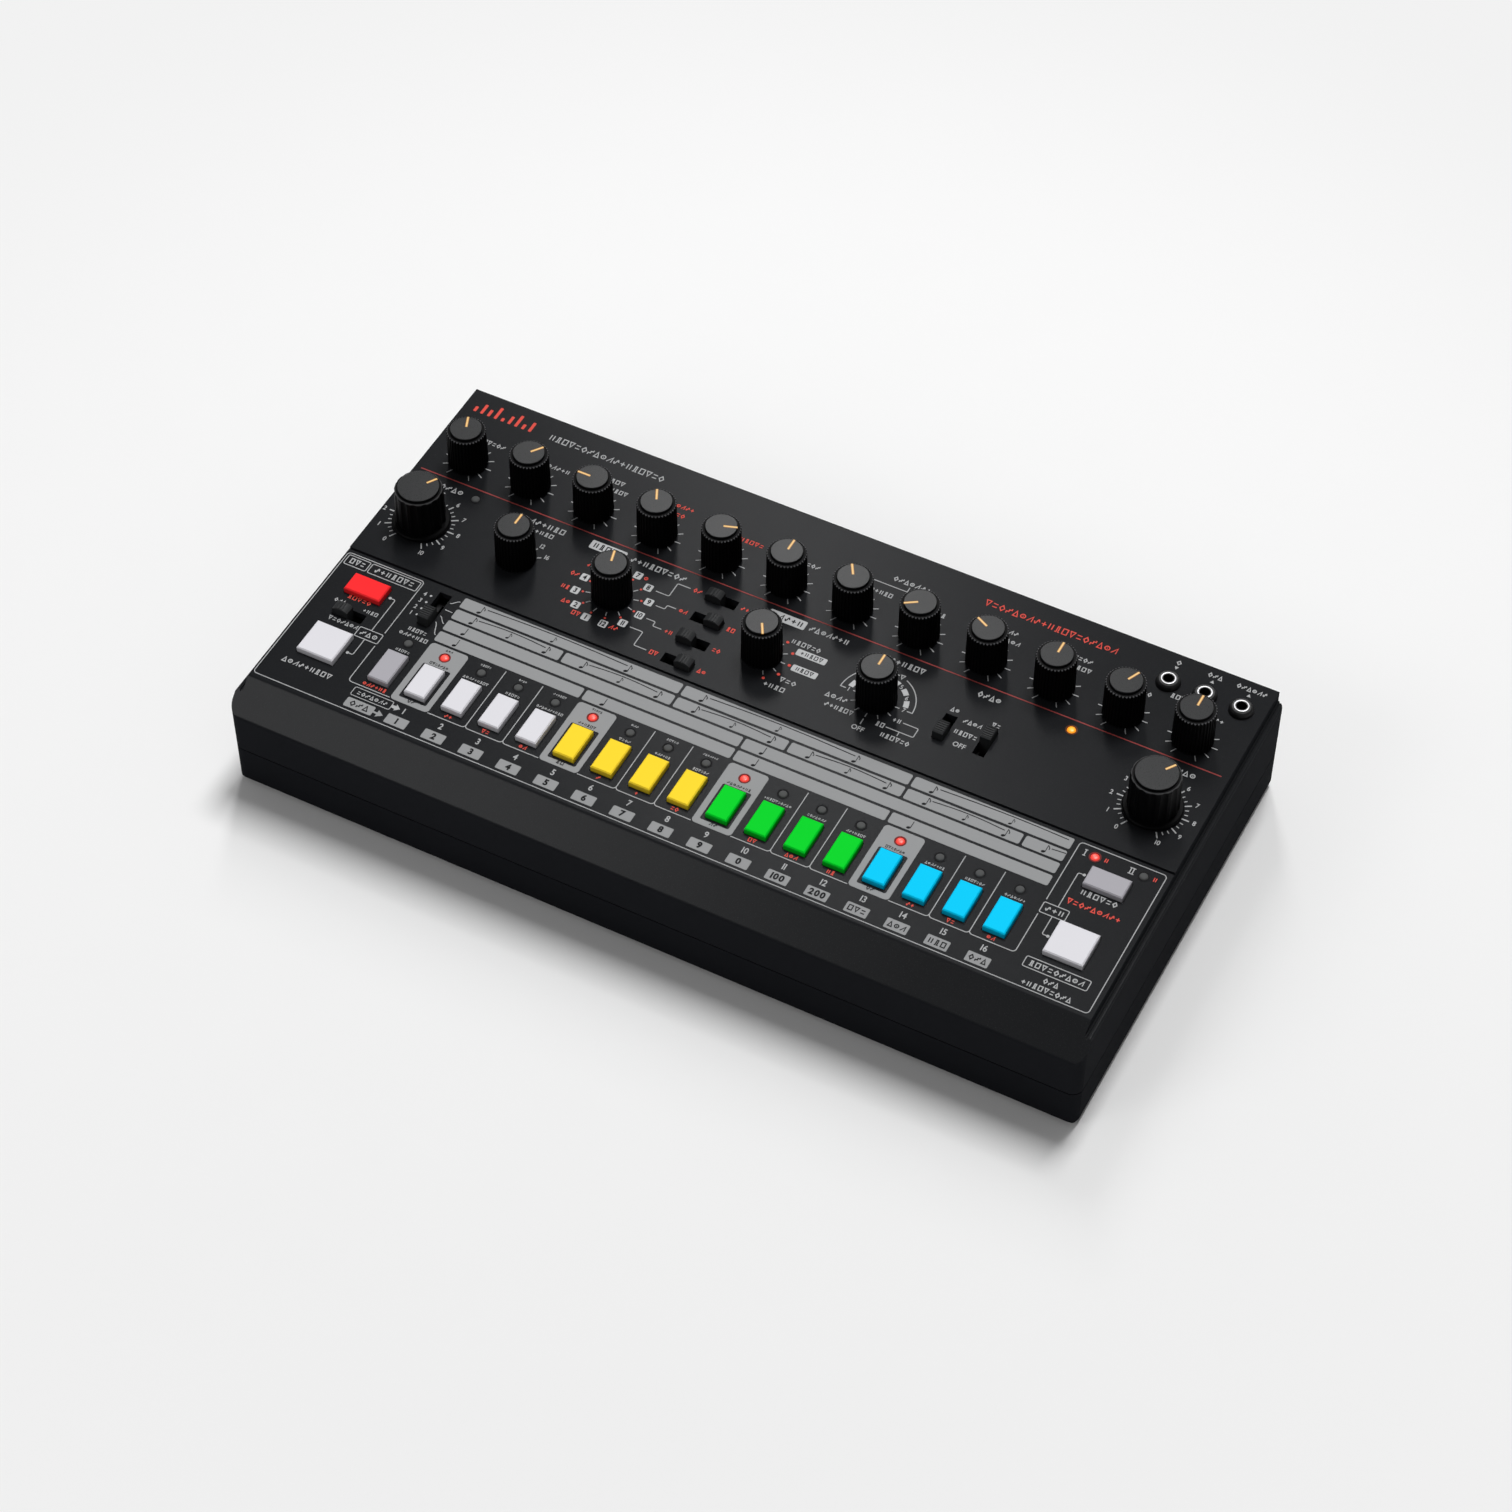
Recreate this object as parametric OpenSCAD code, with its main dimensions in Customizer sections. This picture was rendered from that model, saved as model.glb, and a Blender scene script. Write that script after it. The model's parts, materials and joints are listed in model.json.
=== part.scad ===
// Table-top drum machine: moulded case, keys, knobs, slide switches, boards and rear sockets.
// Millimetres, +Z up. The origin is on the table, under the middle of the whole unit.
// -Y is the player's side, +Y the side with the sockets.

/* [Case] */
// Width over the side walls
case_w = 305; // [295:0.5:325]
// Depth from the front wall to the rear wall
case_d = 158.2; // [152:0.2:170]
// Height of the lower panel above the table
panel_h = 43.3; // [41.3:0.1:48]
// How far the upper panel stands above the lower one
panel_step = 0.6; // [0.3:0.1:1.2]
// Share of the case's depth that lies in front of the crease
crease_share = 0.4665; // [0.462:0.0005:0.475]
// Wall thickness of the case
wall = 2.4; // [2:0.1:2.8]
// Radius of the upright corners
corner_r = 4; // [3:0.5:6]
// How far the side walls lean in from the rim to the base
side_draft = 0.2; // [0.1:0.1:1.2]
// Height of the joint between the top case and the bottom case
parting_h = 17.2; // [15:0.1:19]

/* [Lip and rims] */
// Height of the crease between the front wall and the sloping lip
lip_h = 33; // [31:0.1:35]
// Depth of the sloping lip
lip_run = 10.4; // [9:0.2:12]
// Width of the ledge beside the panel
rim_w = 2.6; // [2:0.1:3]
// Drop from the lower panel to the ledge
rim_drop = 3.8; // [3:0.1:5]

/* [Feet] */
// Height of the feet below the case
foot_h = 2; // [1.5:0.1:3]
// Radius of a foot
foot_r = 7; // [5:0.5:9]
// Depth of the recess that seats a foot
foot_seat = 0.5; // [0.3:0.1:0.8]
// Distance from the case sides to the feet
foot_inset = 24; // [22:1:30]

/* [Keys] */
// Distance from the left side to the first step key
steps_left_inset = 55.55; // [54.5:0.05:56.5]
// Distance from the right side to the last step key
steps_right_inset = 42.75; // [41.7:0.05:43.7]
// Width of a step key
key_w = 7.5; // [7:0.1:8.2]
// Length of a step key
key_l = 13.4; // [12.5:0.1:14]
// Width of a large square key
big_key_w = 13.5; // [12.5:0.1:14]
// Depth of a low key in the second row
low_key_l = 7.8; // [7:0.1:9]
// How far the keys stand above the panel
key_proud = 2; // [1.4:0.1:3]
// Bevel around a key's top
key_bevel = 0.4; // [0.2:0.05:0.6]
// Gap between a key and its opening
key_gap = 0.3; // [0.2:0.05:0.5]
// Key travel
key_travel = 1; // [0.6:0.1:1]
// Radius of the plunger under a key
plunger_r = 1.7; // [1.2:0.1:2]
// Place of the step keys, as a share of the way from the front wall to the crease
key_row_share = 0.45; // [0.44:0.001:0.46]
// Place of the second row of keys, as a share of the same way
low_row_share = 0.8117; // [0.8:0.0001:0.825]
// Distance from the left side to the left key column
left_column_inset = 17.9; // [17:0.1:18.5]
// Distance from the right side to the right key column
right_column_inset = 19.5; // [19:0.1:20.5]

/* [Knobs] */
// Distance from the left side to the first level knob
level_left_inset = 18; // [17.5:0.1:19]
// Distance from the right side to the last level knob
level_right_inset = 19.4; // [18.5:0.1:20]
// Place of the level knobs, as a share of the way from the crease to the rear wall
level_row_share = 0.6173; // [0.61:0.0001:0.63]
// Place of the selector knobs, as a share of the same way
selector_row_share = 0.2464; // [0.24:0.0001:0.26]
// Height of a small knob above the panel
knob_h = 16.4; // [15:0.1:18]
// Radius of a small knob at its foot
knob_r = 6.9; // [6.4:0.1:7.4]
// Radius of a small knob's flat top
knob_top_r = 5.5; // [4.8:0.1:5.8]
// Height of a large knob above the panel
big_knob_h = 17.2; // [16:0.1:19]
// Radius of a large knob's body
big_knob_r = 8.4; // [7.9:0.1:8.7]
// Radius of a large knob's foot flange
big_flange_r = 9.9; // [9.4:0.1:10.4]
// Number of grip flutes around a small knob
flutes = 36; // [24:1:40]
// Number of grip scallops around a large knob
scallops = 14; // [10:1:18]
// Gap between a knob and the panel
knob_gap = 0.6; // [0.4:0.1:1]
// Radius of a knob's shaft
shaft_r = 3; // [2.5:0.1:3]
// Clearance around a shaft in its bush
shaft_play = 0.05; // [0.03:0.01:0.08]
// Radius of a bush that carries a shaft
bush_r = 3.7; // [3.6:0.05:4]

/* [Slide switches] */
// Width of a panel slot
slot_w = 4.2; // [4.1:0.1:4.6]
// Length of a lever along its slot
lever_l = 5.8; // [5.2:0.1:6]
// Width of a lever across its slot
lever_w = 3.8; // [3.4:0.1:3.8]
// How far a lever stands above its panel
lever_proud = 3.2; // [2.6:0.1:3.8]
// Width of the four-position switch's slot
wide_slot_w = 4.6; // [4.4:0.1:4.9]
// Width of the four-position switch's lever
wide_lever_w = 4.1; // [3.7:0.1:4.2]
// How far the four-position lever stands above its panel
wide_lever_proud = 4; // [3.2:0.1:4.4]
// Travel of a two-position lever
two_way_travel = 4.8; // [4:0.1:5.2]
// Travel of a three-position lever
three_way_travel = 5; // [4.4:0.1:5.4]
// Travel of the four-position lever
four_way_travel = 9.1; // [8.4:0.1:9.4]
// Free length left at each end of a slot
slot_end_gap = 0.3; // [0.2:0.05:0.4]
// Centre-to-centre pitch of the four voice switches
voice_pitch = 10.2; // [9.8:0.1:10.4]

/* [Lamps] */
// Radius of a lamp
lamp_r = 1.5; // [1.3:0.05:1.7]
// How far a lamp stands above the panel
lamp_proud = 0.5; // [0.3:0.1:0.8]
// Gap between a lamp and its hole
lamp_gap = 0.1; // [0.05:0.05:0.2]

/* [Sockets] */
// Bore radius of a 3.5 mm socket
mini_bore_r = 1.8; // [1.76:0.01:1.9]
// Radius of a 3.5 mm socket's threaded bush
mini_bush_r = 2.75; // [2.6:0.05:3]
// Radius of a 3.5 mm socket's round nut
mini_nut_r = 4.1; // [3.8:0.1:4.4]
// Height of the round collars around the panel sockets
collar_h = 2; // [1.6:0.1:2.4]
// Thickness of the nuts on the panel and on the rear wall
nut_t = 1.8; // [1.4:0.1:2]
// Centre-to-centre pitch of the panel sockets
panel_jack_pitch = 12.8; // [12.4:0.1:13.4]
// Distance from the right side to the last panel socket
panel_jack_inset = 10.6; // [10.4:0.1:11.2]
// Distance from the rear wall to the panel sockets
panel_jack_from_rear = 13.3; // [13:0.1:14]
// Bore radius of a 6.35 mm socket
jack_bore_r = 3.2; // [3.18:0.01:3.3]
// Radius of a 6.35 mm socket's threaded bush
jack_bush_r = 4.7; // [4.5:0.1:4.9]
// Radius of a 6.35 mm socket's nut
jack_nut_r = 7; // [6.4:0.1:7.4]
// Number of single voice outputs on the rear wall
voice_outs = 10; // [6:1:10]
// Centre-to-centre pitch of the voice outputs
voice_out_pitch = 12; // [11.4:0.1:12.2]
// Radius of a round five-pin socket
din_r = 7.6; // [7.4:0.1:7.8]
// Width of the power rocker
rocker_w = 16.6; // [15:0.2:17]
// Rocker tilt each way
rocker_tilt = 9; // [7:1:10]

/* [Boards] */
// Thickness of the circuit boards
board_t = 1.6; // [1.2:0.1:1.8]
// Drop from the lower panel to the control board's upper face
board_drop = 10.4; // [10:0.1:11]
// Height of the main board's standoffs
standoff_h = 3; // [2.6:0.1:3.2]
// Radius of a screw's shank
screw_r = 1.3; // [1.2:0.05:1.4]
// Radius of a screw's head
screw_head_r = 2.7; // [2.4:0.1:2.8]

/* [Hidden] */
$fn = 48;
EPS = 0.02;
slip = 0.2;

// Outline of the case
y_front = -(case_d + nut_t) / 2;
y_rear = y_front + case_d;
y_crease = y_front + case_d * crease_share;
half_w = case_w / 2;
panel_half_w = half_w - rim_w;
base_half_w = half_w - side_draft;
base_z = foot_h;
floor_z = base_z + wall;
upper_z = panel_h + panel_step;
ceiling_z = panel_h - wall;
ledge_z = panel_h - rim_drop;
rim_round = 1;
back_round = 0.8;
base_round = 0.8;
lip_angle = atan2(panel_h - lip_h, lip_run);
lip_round = 1.6;
joint_groove_h = 0.45;
joint_groove_deep = 0.4;
joint_half_w = base_half_w + side_draft * (parting_h - base_z) / (ledge_z - rim_round - base_z);
crease_w = 0.5;
crease_deep = 0.5;
ledge_groove_w = 0.5;
ledge_groove_deep = 0.5;
ledge_bead_w = 0.6;

// Heights and places of the boards
board_top = panel_h - board_drop;
board_z = board_top - board_t;
main_z = floor_z + standoff_h;
main_top = main_z + board_t;
board_edge = 4.6;
board_clear = 0.5;
main_edge = 12;
main_front_inset = 38.2;

// Rows and columns on the panels
STEPS = 16;
LEVELS = 12;
lamp_row_from_keys = 12.8;
bank_lamp_row_from_keys = 8.5;
y_keys = y_front + (y_crease - y_front) * key_row_share;
y_low_keys = y_front + (y_crease - y_front) * low_row_share;
y_lamps = y_keys + lamp_row_from_keys;
y_bank_lamps = y_low_keys + bank_lamp_row_from_keys;
step_pitch = (case_w - steps_left_inset - steps_right_inset) / (STEPS - 1);
level_pitch = (case_w - level_left_inset - level_right_inset) / (LEVELS - 1);
x_left = -half_w + left_column_inset;
x_right = half_w - right_column_inset;
y_levels = y_crease + (y_rear - y_crease) * level_row_share;
y_selectors = y_crease + (y_rear - y_crease) * selector_row_share;
function step_x(i) = -half_w + steps_left_inset + i * step_pitch;
function level_x(i) = -half_w + level_left_inset + i * level_pitch;
x_shift_key = step_x(-1);

// Keys: [x, y, width, length] in the order of the key nodes
keys = concat(
    [for (i = [0:STEPS - 1]) [step_x(i), y_keys, key_w, key_l]],
    [[x_shift_key, y_keys, key_w, key_l],
     [x_left, y_low_keys, big_key_w, low_key_l],
     [x_left, y_keys, big_key_w, key_l],
     [x_right, y_low_keys, big_key_w, low_key_l],
     [x_right, y_keys, big_key_w, key_l]]);
SHIFT_KEY = 16;
CLEAR_KEY = 17;
START_KEY = 18;
BANK_KEY = 19;
WRITE_KEY = 20;

// Knobs: [x, y, large or not, pointer angle clockwise from the back]
// The columns behind the crease are counted in pitches of the level knobs
level_angles = [-22, 36, -90, -26, 71, 0, -31, -123, -63, 0, 25, 0];
measure_column = 1.5;
track_column = 3;
voice_column = 4.355;
mode_column = 5.29;
fill_column = 7;
fade_columns = [8.01, 8.608];
power_lamp_column = 9.516;
knobs = concat(
    [for (i = [0:LEVELS - 1]) [level_x(i), y_levels, false, level_angles[i]]],
    [[level_x(0), y_selectors, true, 33],
     [level_x(measure_column), y_selectors, false, 0],
     [level_x(track_column), y_selectors, false, -15],
     [level_x(mode_column), y_selectors, false, 150],
     [level_x(fill_column), y_selectors, false, 0],
     [level_x(LEVELS - 1), y_selectors, true, 35]]);
TEMPO_KNOB = 12;
MEASURE_KNOB = 13;
TRACK_KNOB = 14;
MODE_KNOB = 15;
FILL_KNOB = 16;
VOLUME_KNOB = 17;

// Slide switches: [x, y, turned along Y or not, travel, lever place from the middle,
// on the upper panel or not, wide or not]
variation_row_from_keys = 14.8;
scale_row_from_crease = 11.05;
fade_row_drop = 0.4;
voice_row_drop = 0.3;
function voice_y(i) = y_selectors - voice_row_drop + (1.5 - i) * voice_pitch;
slides = concat(
    [[x_left, y_keys + variation_row_from_keys, false, two_way_travel, -two_way_travel / 2, false, false],
     [x_shift_key, y_crease - scale_row_from_crease, true, four_way_travel, -four_way_travel / 2,
        false, true],
     [level_x(fade_columns[0]), y_selectors - fade_row_drop, true, three_way_travel,
        -three_way_travel / 2, true, false],
     [level_x(fade_columns[1]), y_selectors - fade_row_drop, true, three_way_travel,
        three_way_travel / 2, true, false]],
    [for (i = [0:3]) [level_x(voice_column), voice_y(i), false, two_way_travel,
        (i % 2 == 0 ? -1 : 1) * two_way_travel / 2, true, false]]);
VARIATION = 0;
SCALE = 1;
FADE_IN = 2;
FADE_OUT = 3;
FIRST_VOICE = 4;
function slot_length(s) = s[3] + lever_l + 2 * slot_end_gap;
function slot_width(s) = s[6] ? wide_slot_w : slot_w;
function lever_width(s) = s[6] ? wide_lever_w : lever_w;
function lever_top(s) = (s[5] ? upper_z : panel_h) + (s[6] ? wide_lever_proud : lever_proud);

// Lamps: [x, y, panel height]
bank_lamp_offsets = [-7.9, 8.7];
tempo_lamp_offset = 10.8;
upper_lamp_row_from_selectors = 17.4;
y_upper_lamps = y_selectors + upper_lamp_row_from_selectors;
lamps = concat(
    [for (i = [0:STEPS - 1]) [step_x(i), y_lamps, panel_h]],
    [[x_shift_key, y_lamps, panel_h],
     [x_right + bank_lamp_offsets[0], y_bank_lamps, panel_h],
     [x_right + bank_lamp_offsets[1], y_bank_lamps, panel_h],
     [level_x(0) + tempo_lamp_offset, y_upper_lamps, upper_z],
     [level_x(power_lamp_column), y_upper_lamps, upper_z]]);

// Sockets on the panel and the rear wall
PANEL_JACKS = 3;
y_panel_jacks = y_rear - panel_jack_from_rear;
function panel_jack_x(i) = half_w - panel_jack_inset - (PANEL_JACKS - 1 - i) * panel_jack_pitch;
mini_body = [9, 9, 7.4];
mini_axis = 5;
jack_body = [15, 22, 15.4];
jack_axis = 8;
jack_gap = 2;
din_body = [18, 12, 18.6];
din_axis = 9.5;
pin_r = 0.8;
din_pin_ring = 3.5;
din_shell = 0.6;
din_ring_w = 0.8;
usb_body = [12, 15, 11];
usb_mouth = [8.6, 7.9, 9];
usb_axis = 5.8;
dc_body = [9.4, 13, 11];
dc_bore_r = 2.9;
dc_axis = 5.8;
rocker_z = main_top + 10.4;
rocker_h = 11.2;
rocker_axle_r = 1.2;
rocker_bow = 0.4;
rocker_wall = 1.2;
rocker_face = 3.4;
rocker_deep = 3;
rocker_reach = rocker_face * cos(rocker_tilt) + rocker_h / 2 * sin(rocker_tilt);
rocker_y = y_rear + nut_t - rocker_reach;
rocker_back = rocker_y - rocker_deep - 1;
rocker_room = rocker_h / 2 * cos(rocker_tilt) + rocker_face * sin(rocker_tilt) + 0.5;
bezel_t = 1.2;
bezel_lap = 1.2;
housing_outer_w = rocker_w + 2 * slip + 2 * rocker_wall;

// Screw posts: case posts run from the ceiling to the floor, board posts to the control board
case_post_r = 2.9;
post_inset_x = 7;
post_inset_y = 5.2;
post_front_inset = 7.6;

// Columns on the rear wall, from the right end to the left: each piece stands beside the last one
end_inset = 21.5;
socket_gap = 2;
x_rocker = half_w - end_inset;
x_dc = x_rocker - housing_outer_w / 2 - bezel_lap - socket_gap - dc_body[0] / 2;
x_usb = x_dc - dc_body[0] / 2 - socket_gap - usb_body[0] / 2;
x_first_din = x_usb - usb_body[0] / 2 - socket_gap - din_body[0] / 2;
x_dins = [x_first_din, x_first_din - din_body[0] - socket_gap];
x_rear_post = x_dins[1] - din_body[0] / 2 - socket_gap - case_post_r;
x_first_voice_out = x_rear_post - case_post_r - socket_gap - mini_body[0] / 2;
function voice_out_x(i) = x_first_voice_out - i * voice_out_pitch;
x_near_jack = voice_out_x(voice_outs - 1) - mini_body[0] / 2 - 2 * socket_gap - jack_body[0] / 2;
x_jacks = [x_near_jack - jack_body[0] - jack_gap, x_near_jack];

case_posts = [[-half_w + post_inset_x, y_front + post_front_inset], [0, y_front + post_front_inset],
              [half_w - post_inset_x, y_front + post_front_inset],
              [-half_w + post_inset_x, y_rear - post_inset_y], [x_rear_post, y_rear - post_inset_y],
              [half_w - post_inset_x, y_rear - post_inset_y]];
board_post_r = 2.5;
board_post_from_keys = key_l / 2 + 6.3;
board_post_inset = 9;
y_front_board_posts = y_keys - board_post_from_keys;
y_rear_board_posts = (y_levels + y_selectors) / 2;
board_posts = [[step_x(-1), y_front_board_posts], [step_x(7.5), y_front_board_posts],
               [step_x(15.7), y_front_board_posts], [level_x(1), y_rear_board_posts],
               [level_x(5.7), y_rear_board_posts], [level_x(10.2), y_rear_board_posts],
               [-half_w + board_post_inset, y_rear_board_posts],
               [half_w - board_post_inset, y_rear_board_posts]];
main_post_side = main_edge + 18;
main_post_front = main_front_inset + 8;
main_post_rear = wall + jack_body[1] + 15.6;
main_posts = [for (x = [-1, 0, 1]) for (y = [y_front + main_post_front, y_rear - main_post_rear])
    [x * (half_w - main_post_side), y]];
chip_pitch = case_w / 5;
chip_t = 1.4;
hole_play = 0.3;
pilot_r = screw_r + 0.1;
pilot_deep = 7;
screw_l = 6;
screw_head_t = 1.6;

// ---------- shared shapes ----------

// Rectangle with round corners, built from squares and true circles
module round_rect(w, d, r) {
    square([w - 2 * r, d], center = true);
    square([w, d - 2 * r], center = true);
    for (x = [-1, 1])
        for (y = [-1, 1])
            translate([x * (w / 2 - r), y * (d / 2 - r)])
                circle(r);
}

// Upright prism over a centred rectangle, from height z0 to z1
module block(w, d, z0, z1) {
    translate([-w / 2, -d / 2, z0])
        cube([w, d, z1 - z0]);
}

// Upright cylinder from height z0 to z1
module post(r, z0, z1) {
    translate([0, 0, z0])
        cylinder(r = r, h = z1 - z0);
}

// Cylinder along Y from y0 to y1
module rod_y(r, y0, y1) {
    translate([0, y1, 0])
        rotate([90, 0, 0])
            cylinder(r = r, h = y1 - y0);
}

// Prism along X of an outline given in Y and Z
module along_x(length) {
    translate([-length / 2, 0, 0])
        rotate([90, 0, 90])
            linear_extrude(length)
                children();
}

// Prism along Y of an outline given in X and Z
module along_y(y0, y1) {
    translate([0, y1, 0])
        rotate([90, 0, 0])
            linear_extrude(y1 - y0)
                children();
}

// Block with its four top edges bevelled
module bevel_block(w, d, z0, z1, b) {
    intersection() {
        along_y(-d / 2, d / 2)
            polygon([[-w / 2, z0], [w / 2, z0], [w / 2, z1 - b], [w / 2 - b, z1],
                     [-w / 2 + b, z1], [-w / 2, z1 - b]]);
        along_x(w)
            polygon([[-d / 2, z0], [d / 2, z0], [d / 2, z1 - b], [d / 2 - b, z1],
                     [-d / 2 + b, z1], [-d / 2, z1 - b]]);
    }
}

// Points of a round edge: centre, radius, first and last angle
function edge_arc(c, r, a0, a1, n = 6) =
    [for (k = [0:n]) [c[0] + r * cos(a0 + (a1 - a0) * k / n), c[1] + r * sin(a0 + (a1 - a0) * k / n)]];

// ---------- case ----------

// Side view of the case, with a sloping lip, the step at the crease and a round back edge
module case_side_view() {
    reach = lip_round * tan(lip_angle / 2);
    back = lip_round * tan((90 - lip_angle) / 2);
    polygon(concat(
        [[y_front, base_z - 1]],
        edge_arc([y_front + lip_round, lip_h - back], lip_round, 180, 90 + lip_angle, 4),
        edge_arc([y_front + lip_run + reach, panel_h - lip_round], lip_round, 90 + lip_angle, 90, 4),
        [[y_crease - crease_w, panel_h], [y_crease - crease_w, panel_h - crease_deep],
         [y_crease, panel_h - crease_deep], [y_crease, upper_z]],
        edge_arc([y_rear - back_round, upper_z - back_round], back_round, 90, 0),
        [[y_rear, base_z - 1]]));
}

// Right half of the front view: leaning side, round rim, bead, groove and the riser to the panel
function half_front_view() = concat(
    [[base_half_w - base_round, base_z], [base_half_w, base_z + base_round]],
    edge_arc([half_w - rim_round, ledge_z - rim_round], rim_round, 0, 90),
    [[panel_half_w + ledge_bead_w + ledge_groove_w, ledge_z],
     [panel_half_w + ledge_bead_w + ledge_groove_w, ledge_z - ledge_groove_deep],
     [panel_half_w + ledge_bead_w, ledge_z - ledge_groove_deep],
     [panel_half_w + ledge_bead_w, ledge_z],
     [panel_half_w, ledge_z], [panel_half_w, upper_z + 1]]);

module case_front_view() {
    right = half_front_view();
    n = len(right);
    polygon(concat(right, [for (k = [0:n - 1]) [-right[n - 1 - k][0], right[n - 1 - k][1]]]));
}

// The whole case as one solid body
module case_block() {
    intersection() {
        along_x(case_w + 2)
            case_side_view();
        along_y(y_front - 1, y_rear + 1)
            case_front_view();
        translate([0, (y_front + y_rear) / 2, base_z - 1])
            linear_extrude(upper_z)
                round_rect(case_w, case_d, corner_r);
    }
}

// Room inside the case, one wall smaller
module case_room() {
    lip_in = wall * 0.9;
    intersection() {
        along_x(case_w)
            polygon([[y_front + wall, floor_z], [y_front + wall, lip_h - wall / 2],
                     [y_front + lip_run + lip_in, ceiling_z], [y_rear - wall, ceiling_z],
                     [y_rear - wall, floor_z]]);
        along_y(y_front, y_rear)
            polygon([[-base_half_w + wall, floor_z], [-half_w + wall, ledge_z - 2 * wall],
                     [-panel_half_w + wall, ledge_z - wall], [-panel_half_w + wall, ceiling_z],
                     [panel_half_w - wall, ceiling_z], [panel_half_w - wall, ledge_z - wall],
                     [half_w - wall, ledge_z - 2 * wall], [base_half_w - wall, floor_z]]);
        translate([0, (y_front + y_rear) / 2, 0])
            linear_extrude(upper_z)
                round_rect(case_w - 2 * wall, case_d - 2 * wall, corner_r - wall + 0.6);
    }
}

// Everything below the joint, and the tongue of the rear wall that reaches down behind the tray
module below_joint() {
    translate([-case_w, -case_d, -1])
        cube([2 * case_w, 2 * case_d, parting_h + 1]);
}

module rear_tongue(gap) {
    half = base_half_w - corner_r - slip + gap;
    translate([-half, y_rear - wall - gap, floor_z + slip - gap])
        cube([2 * half, wall + gap + 1, parting_h]);
}

// Shallow groove along the joint, at the front and the sides
module joint_groove() {
    difference() {
        translate([-case_w, y_front - 1, parting_h - joint_groove_h / 2])
            cube([2 * case_w, case_d + 1 - corner_r, joint_groove_h]);
        translate([0, (y_front + y_rear) / 2, 0])
            linear_extrude(panel_h)
                round_rect(2 * (joint_half_w - joint_groove_deep), case_d - 2 * joint_groove_deep, corner_r);
    }
}

module panel_openings() {
    for (k = keys)
        translate([k[0], k[1], 0])
            block(k[2] + 2 * key_gap, k[3] + 2 * key_gap, ceiling_z - 1, upper_z + 1);
    for (k = knobs)
        translate([k[0], k[1], 0])
            post(bush_r + hole_play, ceiling_z - 1, upper_z + 1);
    for (s = slides)
        translate([s[0], s[1], 0])
            rotate([0, 0, s[2] ? 90 : 0])
                block(slot_length(s), slot_width(s), ceiling_z - 1, upper_z + 1);
    for (l = lamps)
        translate([l[0], l[1], 0])
            post(lamp_r + lamp_gap, ceiling_z - 1, upper_z + 1);
    for (i = [0:PANEL_JACKS - 1])
        translate([panel_jack_x(i), y_panel_jacks, 0])
            post(mini_bush_r + hole_play, ceiling_z - 1, upper_z + 1);
}

module rear_openings() {
    for (i = [0:voice_outs - 1])
        translate([voice_out_x(i), 0, main_top + mini_axis])
            rod_y(mini_bush_r + hole_play, y_rear - 2 * wall, y_rear + 1);
    for (x = x_jacks)
        translate([x, 0, main_top + jack_axis])
            rod_y(jack_bush_r + hole_play, y_rear - 2 * wall, y_rear + 1);
    for (x = x_dins)
        translate([x, 0, main_top + din_axis])
            rod_y(din_r + hole_play, y_rear - 2 * wall, y_rear + 1);
    translate([x_usb, y_rear, 0])
        block(usb_body[0] + slip, 4 * wall, main_top - slip / 2, main_top + usb_body[2] + slip / 2);
    translate([x_dc, y_rear, 0])
        block(dc_body[0] + slip, 4 * wall, main_top - slip / 2, main_top + dc_body[2] + slip / 2);
    translate([x_rocker, y_rear, rocker_z])
        block(housing_outer_w + slip, 4 * wall, -rocker_room - rocker_wall - slip,
            rocker_room + rocker_wall + slip);
}

module top_case() {
    color("#2b2c2e") {
        difference() {
            case_block();
            case_room();
            difference() {
                below_joint();
                rear_tongue(0);
            }
            joint_groove();
            panel_openings();
            rear_openings();
        }
        difference() {
            intersection() {
                for (p = case_posts)
                    translate([p[0], p[1], 0])
                        post(case_post_r, floor_z, panel_h);
                translate([0, 0, -wall / 2])
                    case_block();
            }
            for (p = case_posts)
                translate([p[0], p[1], 0])
                    post(pilot_r, floor_z - 1, floor_z + pilot_deep);
        }
        difference() {
            for (p = board_posts)
                translate([p[0], p[1], 0])
                    post(board_post_r, board_top, ceiling_z + wall / 2);
            for (p = board_posts)
                translate([p[0], p[1], 0])
                    post(pilot_r, board_top - 1, board_top + screw_l);
        }
    }
}

module bottom_case() {
    color("#27282a") {
        difference() {
            intersection() {
                case_block();
                below_joint();
                along_x(case_w + 2)
                    polygon([[y_front + base_round, base_z], [y_front, base_z + base_round],
                             [y_front, panel_h], [y_rear, panel_h], [y_rear, base_z + base_round],
                             [y_rear - base_round, base_z]]);
            }
            case_room();
            rear_tongue(slip);
            joint_groove();
            for (p = case_posts)
                translate([p[0], p[1], 0]) {
                    post(screw_r + hole_play, 0, floor_z + 1);
                    post(screw_head_r + hole_play, 0, base_z + screw_head_t);
                }
            foot_places()
                post(foot_r + slip, 0, base_z + foot_seat);
        }
        difference() {
            for (p = main_posts)
                translate([p[0], p[1], 0])
                    post(board_post_r, floor_z - wall / 2, main_z);
            for (p = main_posts)
                translate([p[0], p[1], 0])
                    post(pilot_r, floor_z - wall / 4, main_z + 1);
        }
    }
}

module foot_places() {
    for (x = [-1, 1])
        for (y = [y_front + foot_inset, y_rear - foot_inset])
            translate([x * (half_w - foot_inset), y, 0])
                children();
}

module rubber_feet() {
    color("#1b1b1c")
        foot_places()
            rotate_extrude()
                polygon([[0, 0], [foot_r - 0.6, 0], [foot_r, 0.6], [foot_r, foot_h + foot_seat],
                         [0, foot_h + foot_seat]]);
}

// ---------- boards ----------

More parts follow.
